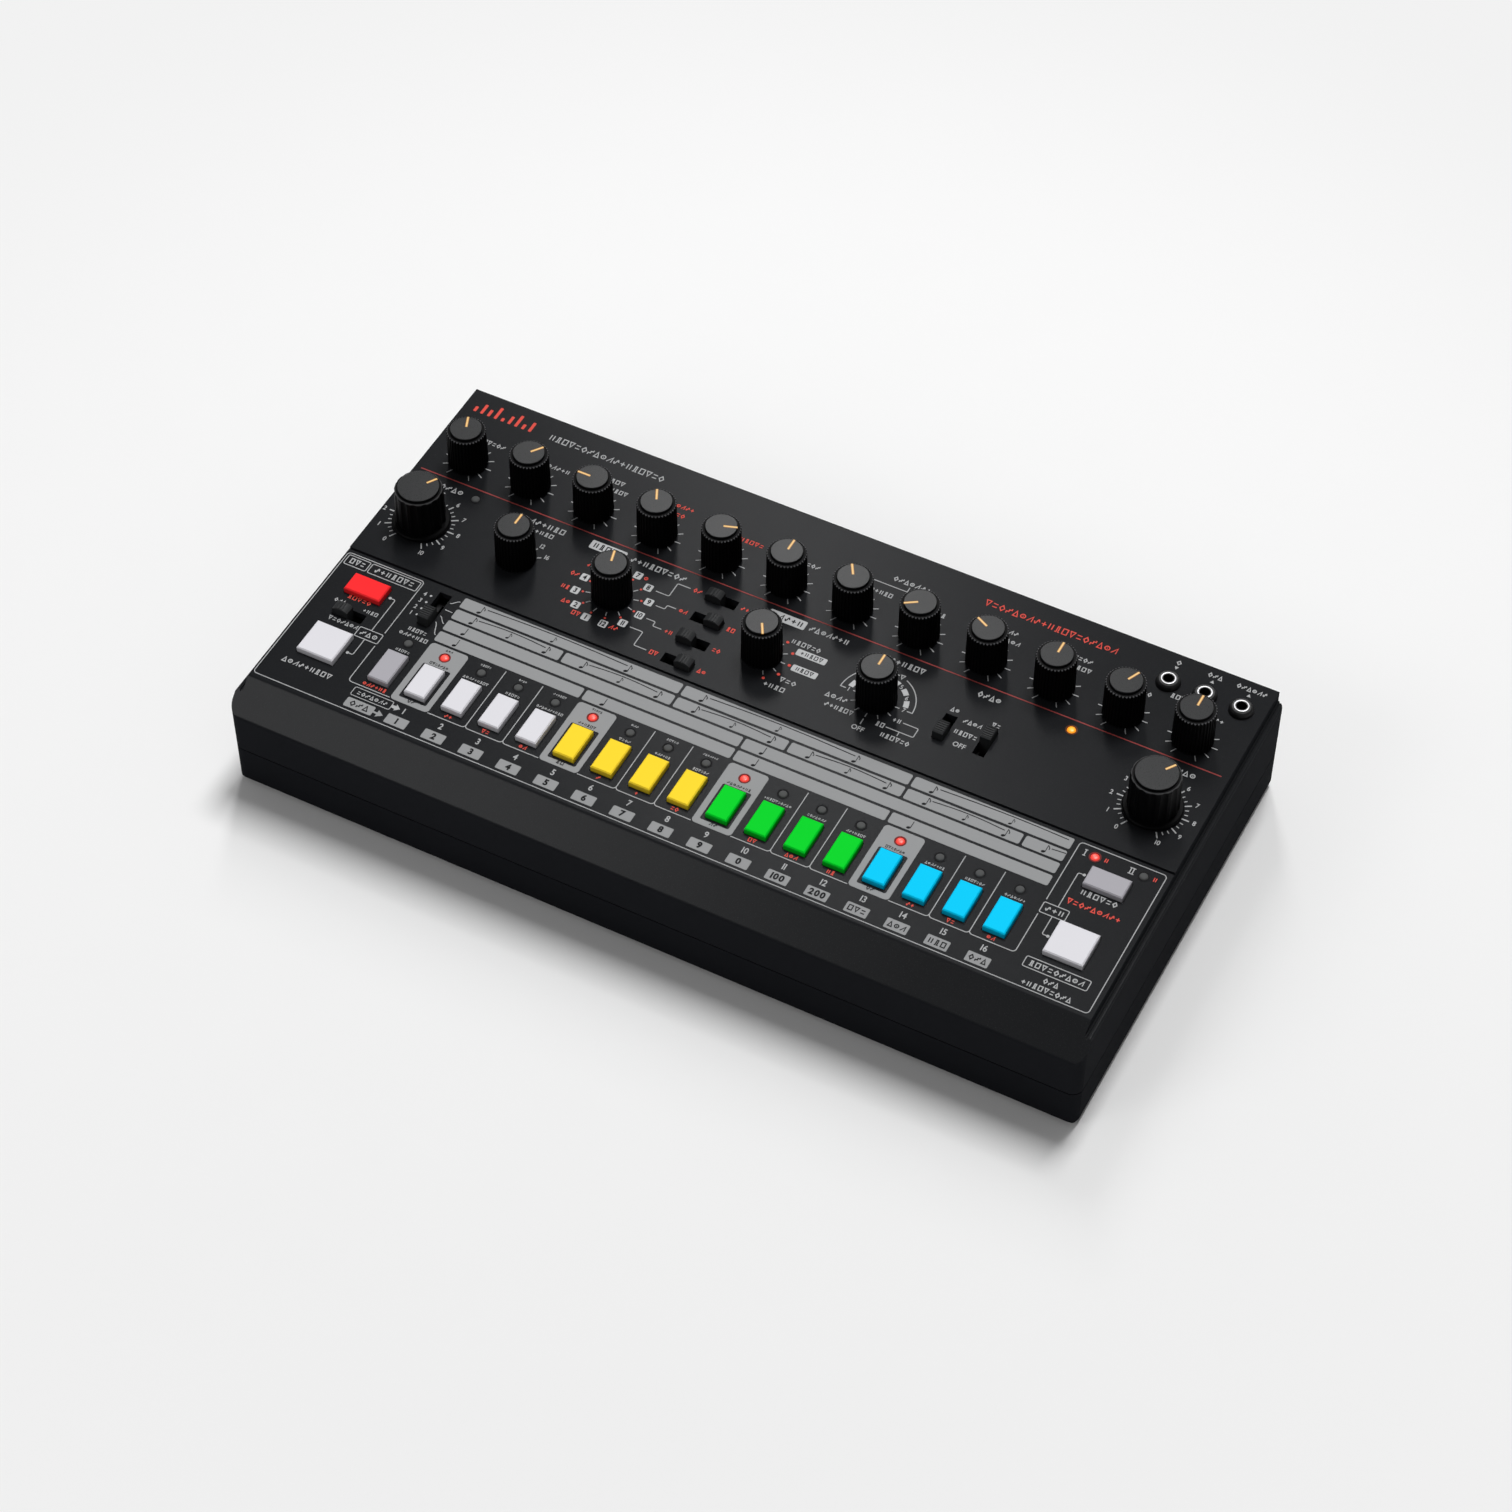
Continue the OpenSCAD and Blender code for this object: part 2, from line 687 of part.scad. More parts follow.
module control_board() {
    color("#1f5a3a")
        difference() {
            translate([-panel_half_w + wall + slip, y_front + lip_run + board_edge, board_z])
                cube([2 * (panel_half_w - wall - slip), case_d - lip_run - board_edge - wall - board_edge,
                      board_t]);
            // Notches that clear the tall sockets and the power switch
            for (x = x_dins)
                translate([x, y_rear, 0])
                    block(din_body[0] + 2 * board_clear, 2 * (wall + slip + din_body[1] + board_clear),
                        board_z - 1, board_top + 1);
            translate([x_rocker, y_rear, 0])
                block(housing_outer_w + 2 * board_clear,
                    2 * (y_rear - rocker_back + rocker_wall + board_clear), board_z - 1, board_top + 1);
            for (p = case_posts)
                translate([p[0], p[1], 0])
                    post(case_post_r + hole_play, board_z - 1, board_top + 1);
            for (p = board_posts)
                translate([p[0], p[1], 0])
                    post(screw_r + hole_play, board_z - 1, board_top + 1);
        }
}

module main_board() {
    color("#1f5a3a")
        difference() {
            translate([-half_w + main_edge, y_front + main_front_inset, main_z])
                cube([case_w - 2 * main_edge, case_d - main_front_inset - wall - slip, board_t]);
            for (p = case_posts)
                translate([p[0], p[1], 0])
                    post(case_post_r + hole_play, main_z - 1, main_top + 1);
            for (p = main_posts)
                translate([p[0], p[1], 0])
                    post(screw_r + hole_play, main_z - 1, main_top + 1);
        }
    // Processor and two driver chips, seated on the board
    color("#161616")
        for (i = [-1:1])
            translate([i * chip_pitch, y_front + case_d / 2, 0])
                block(i == 0 ? 14 : 9, i == 0 ? 14 : 6, main_top, main_top + chip_t);
}

// One screw with its head's seat at z = 0 and its shank upwards
module screw() {
    rotate_extrude()
        polygon([[0, -screw_head_t], [screw_head_r, -screw_head_t], [screw_head_r, 0],
                 [screw_r, 0], [screw_r, screw_l], [0, screw_l]]);
}

module screws() {
    color("#8f9194") {
        for (p = case_posts)
            translate([p[0], p[1], base_z + screw_head_t])
                screw();
        for (p = board_posts)
            translate([p[0], p[1], board_z])
                screw();
        for (p = main_posts)
            translate([p[0], p[1], main_top])
                rotate([180, 0, 0])
                    short_screw();
    }
}

// Screw for the shallow standoffs of the main board
module short_screw() {
    short_l = board_t + standoff_h;
    rotate_extrude()
        polygon([[0, -screw_head_t], [screw_head_r, -screw_head_t], [screw_head_r, 0],
                 [screw_r, 0], [screw_r, short_l], [0, short_l]]);
}

// ---------- keys ----------

key_top = panel_h + key_proud;
flange_t = 1;
flange_lap = 0.9;
flange_gap = 0.1;
flange_z = ceiling_z - flange_gap - flange_t;
switch_h = 4.4;
switch_w = 6.2;
plunger_play = 0.08;
plunger_engage = 2;
plunger_z = board_top + switch_h - plunger_engage;

// Key cap, with the flange that holds it under the panel and the plunger that works its switch
module key(k) {
    translate([k[0], k[1], 0]) {
        bevel_block(k[2], k[3], flange_z, key_top, key_bevel);
        block(k[2] + 2 * flange_lap, k[3] + 2 * flange_lap, flange_z, flange_z + flange_t);
        post(plunger_r, plunger_z, flange_z + EPS);
    }
}

module step_key(i) {
    color(i < 4 ? "#e9e9ec" : i < 8 ? "#ffde1f" : i < 12 ? "#0ad628" : "#04c6fa")
        key(keys[i]);
}

module shift_key() {
    color("#a9a9ad")
        key(keys[SHIFT_KEY]);
}

module clear_key() {
    color("#f8302c")
        key(keys[CLEAR_KEY]);
}

module start_key() {
    color("#e9e9ec")
        key(keys[START_KEY]);
}

module bank_key() {
    color("#b9b9bc")
        key(keys[BANK_KEY]);
}

module write_key() {
    color("#e9e9ec")
        key(keys[WRITE_KEY]);
}

// Housing under each key, with the bore that guides the plunger
module key_switches() {
    color("#202022")
        for (k = keys)
            translate([k[0], k[1], 0])
                difference() {
                    block(switch_w, switch_w, board_top, board_top + switch_h);
                    post(plunger_r + plunger_play, plunger_z - key_travel - 0.2,
                        board_top + switch_h + 1);
                }
}

// ---------- knobs and pots ----------

pot_w = 9.8;
pot_d = 11;
pot_body_h = 6.4;
pot_top = board_top + pot_body_h;
bush_top = upper_z - 0.4;
shaft_foot = board_top + 1.6;
flute_r = 0.42;
crown_bevel = 0.3;
flute_lean = 0.2;
shoulder_drop = 0.9;
big_shoulder_in = 0.4;
big_disc_in = 1.35;
scallop_r = 2.6;
scallop_deep = 0.55;
pointer_w = 0.9;
pointer_deep = 0.3;
pointer_start = 0.7;
big_pointer_start = 3.1;

// Potentiometer or selector housing: a box on the board with a bush that carries the shaft
module pot_bodies() {
    color("#3c3d40")
        for (k = knobs)
            translate([k[0], k[1], 0])
                difference() {
                    union() {
                        block(pot_w, pot_d, board_top, pot_top);
                        post(bush_r, pot_top - EPS, bush_top);
                    }
                    post(shaft_r + shaft_play, shaft_foot - 0.4, bush_top + 1);
                }
}

// Groove of the pointer line on a knob's top, from its start to the edge
module pointer_groove(start, top_r, z) {
    translate([-pointer_w / 2, start, z - pointer_deep])
        cube([pointer_w, top_r, pointer_deep + 1]);
}

module small_knob_body() {
    z0 = upper_z + knob_gap;
    z1 = upper_z + knob_h;
    shoulder = z1 - shoulder_drop;
    crown_r = knob_r - flute_lean;
    difference() {
        rotate_extrude()
            polygon([[0, z0], [knob_r, z0],
                     [crown_r, shoulder - crown_bevel], [crown_r - crown_bevel, shoulder],
                     [knob_top_r, shoulder], [knob_top_r, z1 - 0.3], [knob_top_r - 0.3, z1], [0, z1]]);
        for (a = [0:flutes - 1])
            rotate([0, 0, (a + 0.5) * 360 / flutes])
                translate([knob_r, 0, z0])
                    rotate([0, -atan2(flute_lean, shoulder - z0), 0])
                        post(flute_r, -1, knob_h);
        pointer_groove(pointer_start, knob_top_r, z1);
    }
}

module large_knob_body() {
    z0 = upper_z + knob_gap;
    z1 = upper_z + big_knob_h;
    flange_top = z0 + 1.2;
    disc_r = big_knob_r - big_disc_in;
    shoulder = z1 - shoulder_drop;
    difference() {
        rotate_extrude()
            polygon([[0, z0], [big_flange_r, z0], [big_flange_r, flange_top - 0.4],
                     [big_flange_r - 0.4, flange_top], [big_knob_r, flange_top],
                     [big_knob_r - 0.15, shoulder - 0.8], [big_knob_r - big_shoulder_in, shoulder],
                     [disc_r, shoulder], [disc_r, z1 - 0.2], [disc_r - 0.2, z1], [0, z1]]);
        for (a = [0:scallops - 1])
            rotate([0, 0, (a + 0.5) * 360 / scallops])
                translate([big_knob_r + scallop_r - scallop_deep, 0, 0])
                    post(scallop_r, flange_top + 0.3, shoulder + 0.1);
        pointer_groove(big_pointer_start, disc_r, z1);
    }
}

// Knob, pointer turned to its place, with the shaft that runs in its bush
module knob(k) {
    color("#18181a")
        translate([k[0], k[1], 0]) {
            rotate([0, 0, -k[3]])
                if (k[2])
                    large_knob_body();
                else
                    small_knob_body();
            post(shaft_r, shaft_foot, upper_z + knob_gap + EPS);
        }
}

// ---------- slide switches ----------

housing_h = 5.4;
housing_wall = 1.2;
housing_w = 6.6;
shoe_w = 4.4;
shoe_l = 3.6;
shoe_h = 2.6;
neck_w = 1.8;
neck_l = 3;
cavity_z = board_top + 1;
cavity_top = board_top + housing_h - 1;
thumb_z = board_top + housing_h + 0.5;
arched_ends = 1.1;
flat_ends = 0.4;
rib_pitch = 0.9;
rib_deep = 0.25;

// Housing under a slot: a closed box with a cavity for the lever's shoe and a slot for its neck
module slide_switch_bodies() {
    color("#2a2a2c")
        for (s = slides)
            translate([s[0], s[1], 0])
                rotate([0, 0, s[2] ? 90 : 0])
                    difference() {
                        block(s[3] + shoe_l + 2 * slip + 2 * housing_wall, housing_w, board_top,
                            board_top + housing_h);
                        block(s[3] + shoe_l + 2 * slip, shoe_w + 2 * slip, cavity_z, cavity_top);
                        block(s[3] + neck_l + 2 * slip, neck_w + 2 * slip, cavity_top - 1,
                            board_top + housing_h + 1);
                    }
}

// Lever: a ribbed thumb piece, a neck and a shoe that slides in the housing
module lever(s) {
    top = lever_top(s);
    width = lever_width(s);
    ends = s[2] ? flat_ends : arched_ends;
    color("#2f3032")
        translate([s[0], s[1], 0])
            rotate([0, 0, s[2] ? 90 : 0])
                translate([s[4], 0, 0]) {
                    difference() {
                        intersection() {
                            along_y(-width / 2, width / 2)
                                polygon(concat([[-lever_l / 2, thumb_z], [lever_l / 2, thumb_z]],
                                    [for (k = [4:-1:-4]) [k * lever_l / 8,
                                        top - ends * pow(abs(k) / 4, s[2] ? 8 : 2)]]));
                            along_x(lever_l)
                                polygon([[-width / 2, thumb_z], [width / 2, thumb_z],
                                         [width / 2, top - 0.5], [width / 2 - 0.3, top],
                                         [-width / 2 + 0.3, top], [-width / 2, top - 0.5]]);
                        }
                        for (r = [-2:2])
                            translate([r * rib_pitch, 0, 0])
                                block(rib_pitch / 2, width + 1, top - rib_deep, top + 1);
                    }
                    block(neck_l, neck_w, cavity_z + slip + shoe_h - EPS, thumb_z + EPS);
                    block(shoe_l, shoe_w, cavity_z + slip, cavity_z + slip + shoe_h);
                }
}

// ---------- lamps ----------

lamp_base_r = 1.9;
lamp_base_h = 4;
lens_r = 2;

// Lamp on the board, with a domed top just above the panel
module lamps() {
    color("#55565a")
        for (l = lamps)
            translate([l[0], l[1], 0]) {
                top = l[2] + lamp_proud;
                cap = lens_r - sqrt(lens_r * lens_r - lamp_r * lamp_r);
                post(lamp_base_r, board_top, board_top + lamp_base_h);
                post(lamp_r, board_top + lamp_base_h - EPS, top - cap);
                intersection() {
                    post(lamp_r, top - cap - EPS, top);
                    translate([0, 0, top - lens_r])
                        sphere(r = lens_r);
                }
            }
}

// ---------- sockets ----------

bush_out = 1.5;
collar_bush_out = 0.15;
mini_depth = 11;
jack_depth = 22;

// Ring nut around a bush, seated on z = 0
module ring_nut(outer_r, inner_r, t) {
    rotate_extrude()
        polygon([[inner_r, 0], [outer_r, 0], [outer_r, t - 0.5], [outer_r - 0.5, t], [inner_r, t]]);
}

// Round collar around a panel socket, narrower towards its top
module collar() {
    rotate_extrude()
        polygon([[mini_bush_r + EPS, 0], [mini_nut_r + 0.1, 0], [mini_nut_r, collar_h * 0.4],
                 [mini_nut_r - 0.35, collar_h * 0.75], [mini_nut_r - 0.8, collar_h * 0.95],
                 [mini_nut_r - 1, collar_h], [mini_bush_r + EPS, collar_h]]);
}

module mini_jacks() {
    top = upper_z + collar_h + collar_bush_out;
    for (i = [0:PANEL_JACKS - 1])
        translate([panel_jack_x(i), y_panel_jacks, 0]) {
            color("#26272a")
                difference() {
                    union() {
                        block(mini_body[0], mini_body[1], board_top, board_top + mini_body[2]);
                        post(mini_bush_r, board_top + mini_body[2] - EPS, top);
                    }
                    post(mini_bore_r, top - mini_depth, top + 1);
                }
            color("#1a1a1c")
                translate([0, 0, upper_z])
                    collar();
        }
    for (i = [0:voice_outs - 1])
        translate([voice_out_x(i), 0, main_top + mini_axis]) {
            color("#26272a")
                difference() {
                    union() {
                        translate([0, y_rear - wall - slip - mini_body[1] / 2 - 1.5, 0])
                            block(mini_body[0], mini_body[1] + 3, -mini_axis, mini_body[2] - mini_axis + 2);
                        rod_y(mini_bush_r, y_rear - wall - 1, y_rear + bush_out);
                    }
                    rod_y(mini_bore_r, y_rear + bush_out - mini_depth, y_rear + bush_out + 1);
                }
            color("#1a1a1c")
                translate([0, y_rear, 0])
                    rotate([-90, 0, 0])
                        ring_nut(mini_nut_r, mini_bush_r + EPS, nut_t);
        }
}

module output_jack() {
    difference() {
        union() {
            translate([0, y_rear - wall - slip - jack_body[1] / 2, 0])
                block(jack_body[0], jack_body[1], -jack_axis, jack_body[2] - jack_axis);
            rod_y(jack_bush_r, y_rear - wall - 1, y_rear + bush_out);
        }
        rod_y(jack_bore_r, y_rear + bush_out - jack_depth, y_rear + bush_out + 1);
    }
    translate([0, y_rear, 0])
        rotate([-90, 0, 0])
            ring_nut(jack_nut_r, jack_bush_r + EPS, nut_t);
}

// Five-pin socket: a box with a round face and five pin holes on a half ring
module din_socket() {
    difference() {
        union() {
            translate([0, y_rear - wall - slip - din_body[1] / 2, 0])
                block(din_body[0], din_body[1], -din_axis, din_body[2] - din_axis);
            rod_y(din_r, y_rear - wall - 1, y_rear + 0.4);
        }
        for (a = [-90:45:90])
            rotate([0, a, 0])
                translate([0, 0, din_pin_ring])
                    rod_y(pin_r, y_rear - 6, y_rear + 2);
        difference() {
            rod_y(din_r - din_shell, y_rear - 4, y_rear + 2);
            rod_y(din_r - din_shell - din_ring_w, y_rear - 5, y_rear + 3);
        }
    }
}

module usb_socket() {
    difference() {
        translate([0, y_rear + 0.4 - usb_body[1] / 2, 0])
            block(usb_body[0], usb_body[1], -usb_axis, usb_body[2] - usb_axis);
        translate([0, y_rear + 0.4 - usb_mouth[2] / 2, 0])
            block(usb_mouth[0], usb_mouth[2] + EPS, -usb_mouth[1] / 2, usb_mouth[1] / 2);
    }
}

module dc_inlet() {
    difference() {
        translate([0, y_rear + 0.4 - dc_body[1] / 2, 0])
            block(dc_body[0], dc_body[1], -dc_axis, dc_body[2] - dc_axis);
        rod_y(dc_bore_r, y_rear - 9, y_rear + 2);
    }
    rod_y(1, y_rear - 9 - EPS, y_rear - 1);
}

// Housing of the power switch: an open box with a bezel outside the wall and two axle holes
module power_housing() {
    inner_w = rocker_w + 2 * slip;
    outer_w = housing_outer_w;
    outer_h = rocker_room + rocker_wall;
    deep = rocker_back;
    difference() {
        union() {
            translate([0, (y_rear + bezel_t + deep - rocker_wall) / 2, 0])
                block(outer_w, y_rear + bezel_t - deep + rocker_wall, -outer_h, outer_h);
            translate([0, y_rear + bezel_t / 2, 0])
                block(outer_w + 2 * bezel_lap, bezel_t, -outer_h - bezel_lap, outer_h + bezel_lap);
        }
        translate([0, (y_rear + bezel_t + 1 + deep) / 2, 0])
            block(inner_w, y_rear + bezel_t + 1 - deep, -rocker_room, rocker_room);
        translate([-outer_w / 2 + rocker_wall / 3, rocker_y, 0])
            rotate([0, 90, 0])
                cylinder(r = rocker_axle_r + shaft_play, h = outer_w - 2 * rocker_wall / 3);
    }
}

module rear_sockets() {
    color("#2c2d30") {
        for (x = x_jacks)
            translate([x, 0, main_top + jack_axis])
                output_jack();
        for (x = x_dins)
            translate([x, 0, main_top + din_axis])
                din_socket();
        translate([x_usb, 0, main_top + usb_axis])
            usb_socket();
        translate([x_dc, 0, main_top + dc_axis])
            dc_inlet();
        translate([x_rocker, 0, rocker_z])
            power_housing();
    }
}

// Rocker on its axle, with its upper end pressed in
module power_rocker() {
    h = rocker_h / 2;
    color("#151516")
        translate([x_rocker, rocker_y, rocker_z])
            rotate([rocker_tilt, 0, 0]) {
                along_x(rocker_w)
                    polygon([[-rocker_deep, -2], [-rocker_deep, 2], [0, h - 0.6], [rocker_face - 1, h],
                             [rocker_face, h], [rocker_face - rocker_bow, 0], [rocker_face, -h],
                             [rocker_face - 1, -h], [0, -h + 0.6]]);
                translate([-rocker_w / 2 - rocker_wall / 2, 0, 0])
                    rotate([0, 90, 0])
                        cylinder(r = rocker_axle_r, h = rocker_w + rocker_wall);
            }
}

// ---------- nodes ----------

top_case();
bottom_case();
control_board();
main_board();
pot_bodies();
key_switches();
slide_switch_bodies();
lamps();
mini_jacks();
rear_sockets();
rubber_feet();
screws();
step_key(0);  // step_key_01
step_key(1);  // step_key_02
step_key(2);  // step_key_03
step_key(3);  // step_key_04
step_key(4);  // step_key_05
step_key(5);  // step_key_06
step_key(6);  // step_key_07
step_key(7);  // step_key_08
step_key(8);  // step_key_09
step_key(9);  // step_key_10
step_key(10);  // step_key_11
step_key(11);  // step_key_12
step_key(12);  // step_key_13
step_key(13);  // step_key_14
step_key(14);  // step_key_15
step_key(15);  // step_key_16
shift_key();
clear_key();
start_key();
bank_key();
write_key();
knob(knobs[0]);  // level_knob_01
knob(knobs[1]);  // level_knob_02
knob(knobs[2]);  // level_knob_03
knob(knobs[3]);  // level_knob_04
knob(knobs[4]);  // level_knob_05
knob(knobs[5]);  // level_knob_06
knob(knobs[6]);  // level_knob_07
knob(knobs[7]);  // level_knob_08
knob(knobs[8]);  // level_knob_09
knob(knobs[9]);  // level_knob_10
knob(knobs[10]);  // level_knob_11
knob(knobs[11]);  // level_knob_12
knob(knobs[TEMPO_KNOB]);  // tempo_knob
knob(knobs[MEASURE_KNOB]);  // measure_knob
knob(knobs[TRACK_KNOB]);  // track_knob
knob(knobs[MODE_KNOB]);  // mode_knob
knob(knobs[FILL_KNOB]);  // fill_knob
knob(knobs[VOLUME_KNOB]);  // volume_knob
lever(slides[VARIATION]);  // variation_lever
lever(slides[SCALE]);  // scale_lever
lever(slides[FADE_IN]);  // fade_in_lever
lever(slides[FADE_OUT]);  // fade_out_lever
lever(slides[FIRST_VOICE]);  // voice_lever_1
lever(slides[FIRST_VOICE + 1]);  // voice_lever_2
lever(slides[FIRST_VOICE + 2]);  // voice_lever_3
lever(slides[FIRST_VOICE + 3]);  // voice_lever_4
power_rocker();
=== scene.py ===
import json
from math import cos, hypot, pi, radians, sin, tan

import bmesh
import bpy
from mathutils import Matrix, Vector
from mathutils.geometry import tessellate_polygon


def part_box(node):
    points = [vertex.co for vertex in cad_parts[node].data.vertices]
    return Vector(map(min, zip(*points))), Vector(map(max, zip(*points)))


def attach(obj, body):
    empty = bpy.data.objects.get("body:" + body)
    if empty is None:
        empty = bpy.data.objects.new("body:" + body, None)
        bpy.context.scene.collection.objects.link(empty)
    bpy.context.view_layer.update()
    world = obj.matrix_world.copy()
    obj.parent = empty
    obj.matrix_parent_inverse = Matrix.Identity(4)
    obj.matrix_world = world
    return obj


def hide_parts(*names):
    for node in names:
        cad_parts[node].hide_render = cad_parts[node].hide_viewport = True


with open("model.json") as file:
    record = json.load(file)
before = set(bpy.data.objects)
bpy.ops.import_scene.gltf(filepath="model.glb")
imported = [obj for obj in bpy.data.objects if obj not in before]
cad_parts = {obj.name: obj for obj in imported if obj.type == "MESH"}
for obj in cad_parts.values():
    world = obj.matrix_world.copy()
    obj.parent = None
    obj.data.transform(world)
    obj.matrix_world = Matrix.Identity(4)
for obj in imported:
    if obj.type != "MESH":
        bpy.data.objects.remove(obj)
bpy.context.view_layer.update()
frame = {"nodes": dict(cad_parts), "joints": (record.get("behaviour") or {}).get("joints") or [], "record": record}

MM = 0.001


# ---- Places from the frame, in millimetres

def low(node):
    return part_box(node)[0] / MM


def high(node):
    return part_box(node)[1] / MM


def mid(node):
    return (low(node) + high(node)) / 2


STEP_KEYS = [f"step_key_{i:02d}" for i in range(1, 17)]
LEVEL_KNOBS = [f"level_knob_{i:02d}" for i in range(1, 13)]
SELECTORS = ["measure_knob", "track_knob", "mode_knob", "fill_knob"]
BIG_KNOBS = ["tempo_knob", "volume_knob"]
LEVERS = ["variation_lever", "scale_lever", "fade_in_lever", "fade_out_lever"]
LEVERS += [f"voice_lever_{i}" for i in range(1, 5)]

KEY_PROUD = 2.0
PANEL_STEP = 0.6
LOWER_Z = high("step_key_01").z - KEY_PROUD
UPPER_Z = LOWER_Z + PANEL_STEP

STEP_X = [mid(k).x for k in STEP_KEYS]
KEY_Y = mid("step_key_01").y
KEY_HALF_X, KEY_HALF_Y = ((high("step_key_01")[n] - low("step_key_01")[n]) / 2 for n in (0, 1))
PITCH = (STEP_X[-1] - STEP_X[0]) / 15
LEFT = low("top_case").x
RIGHT = high("top_case").x
REAR_WALL = high("top_case").y
UNDERSIDE = low("bottom_case").z
BORES = [m for m in frame["record"]["mounts"] if m["kind"] == "bore"]

ROCKER = next(j for j in frame["joints"] if j["child"] == "power_rocker")
ROCKER_AXLE = Vector(ROCKER["pos_m"]) / MM
ROCKER_TILT = radians((ROCKER["range_deg"][1] - ROCKER["range_deg"][0]) / 2)
ROCKER_HALF = 5.6
ROCKER_FACE = 3.4
ROCKER_BOW = 0.4
OUTPUT_Z = next(m for m in BORES if m["name"] == "output_jack_1")["pos_m"][2] / MM
BOARD_TOP = OUTPUT_Z - 8.0
INLET_X = ROCKER_AXLE.x - 17.6
USB_X = INLET_X - 12.7
FIVE_PIN_X = [USB_X - 17.0, USB_X - 37.0]
SMALL_AXIS_Z = BOARD_TOP + 5.8
FIVE_PIN_Z = BOARD_TOP + 9.5


# ---- Materials

FINE_DETAIL = 3.0
DRIFT_MM = 30.0
WALL_DRIFT_MM = 24.0
WALL_DRIFT = 0.06
GLOSS_SPREAD = 0.05
BUMP_SHARE = 0.2
SLOPING, LEVEL = 0.5, 0.9
KNOB_DISC = (33, 34, 35)
DISC_DEPTH = 0.12
# How far below a knob's top the painted highlight on its flute tips reaches.
HIGHLIGHT_DEPTH = 1.24
LENS_DEEP, LENS_PALE = 0.28, 0.52
WHITE, BLACK_RGBA = (1.0, 1.0, 1.0, 1.0), (0.0, 0.0, 0.0, 1.0)


def linear(value):
    c = value / 255
    return c / 12.92 if c <= 0.04045 else ((c + 0.055) / 1.055) ** 2.4


def colour(rgb, gain=1.0):
    return tuple(linear(c) * gain for c in rgb) + (1.0,)


def feed(node, sockets):
    """Gives sockets of a node their values, or links them to other nodes' outputs."""
    for key, value in sockets.items():
        if isinstance(value, (int, float, tuple)):
            node.inputs[key].default_value = value
        else:
            node.id_data.links.new(value, node.inputs[key])
    return node


def add(tree, kind, sockets=None):
    return feed(tree.nodes.new(f"ShaderNode{kind}"), sockets or {})


def source(node, name):
    """What now feeds a socket."""
    return node.inputs[name].links[0].from_socket


def shader(mat):
    return mat.node_tree, mat.node_tree.nodes["Principled BSDF"]


def new_material(name):
    mat = bpy.data.materials.new(name)
    mat.use_nodes = True
    return mat, *shader(mat)


def noise(tree, coord, size_mm, detail=2.0):
    sockets = {"Vector": coord, "Scale": 1 / (size_mm * MM), "Detail": detail}
    return add(tree, "TexNoise", sockets).outputs["Fac"]


def spread(tree, value, start, end):
    """The middle of a noise's range, laid over a range of its own."""
    sockets = {"Value": value, "From Min": 0.3, "From Max": 0.7, "To Min": start, "To Max": end}
    return add(tree, "MapRange", sockets).outputs["Result"]


def blend(tree, factor, first, second):
    node = add(tree, "Mix")
    node.data_type = "RGBA"
    return feed(node, {0: factor, 6: first, 7: second}).outputs[2]


def maths(tree, operation, *values):
    node = add(tree, "Math")
    node.operation = operation
    return feed(node, dict(enumerate(values))).outputs[0]


def scaled(tree, value, gain, offset):
    return maths(tree, "MULTIPLY_ADD", value, gain, offset)


def moulded(name, rgb, rough=0.5, specular=0.5, grain=0.35, bump=0.2, vary=0.08, metal=0.0):
    """Moulded or coated plastic: a fine grain in its bump and gloss, and a slow drift in its colour."""
    mat, tree, bsdf = new_material(name)
    coord = add(tree, "TexCoord").outputs["Object"]
    fine = noise(tree, coord, grain, FINE_DETAIL)
    broad = noise(tree, coord, DRIFT_MM)
    relief = add(tree, "Bump", {"Height": fine, "Strength": bump, "Distance": grain * MM * BUMP_SHARE})
    feed(bsdf, {
        "Base Color": blend(tree, broad, colour(rgb, 1 - vary), colour(rgb, 1 + vary)),
        "Roughness": spread(tree, fine, rough - GLOSS_SPREAD, rough + GLOSS_SPREAD),
        "Normal": relief.outputs["Normal"],
        "Specular IOR Level": specular,
        "Metallic": metal,
    })
    return mat


def coated(name, top_rgb, side_rgb, top_rough, side_rough, top_specular, slope_specular, side_specular):
    """Moulding whose upward faces carry a smoother coat than its walls, with more shine on the lip."""
    mat = moulded(name, top_rgb, top_rough, top_specular, 0.3, 0.12)
    tree, bsdf = shader(mat)
    coord = add(tree, "TexCoord").outputs
    facing = add(tree, "SeparateXYZ", {0: coord["Normal"]}).outputs["Z"]
    coat = maths(tree, "GREATER_THAN", facing, SLOPING)
    level = maths(tree, "GREATER_THAN", facing, LEVEL)
    wall = blend(tree, noise(tree, coord["Object"], WALL_DRIFT_MM), colour(side_rgb, 1 - WALL_DRIFT),
                 colour(side_rgb, 1 + WALL_DRIFT))
    bare = maths(tree, "SUBTRACT", 1.0, coat)
    sloped = scaled(tree, coat, slope_specular - side_specular, side_specular)
    feed(bsdf, {
        "Base Color": blend(tree, coat, wall, source(bsdf, "Base Color")),
        "Roughness": scaled(tree, bare, side_rough - top_rough, source(bsdf, "Roughness")),
        "Specular IOR Level": scaled(tree, level, top_specular - slope_specular, sloped),
    })
    return mat


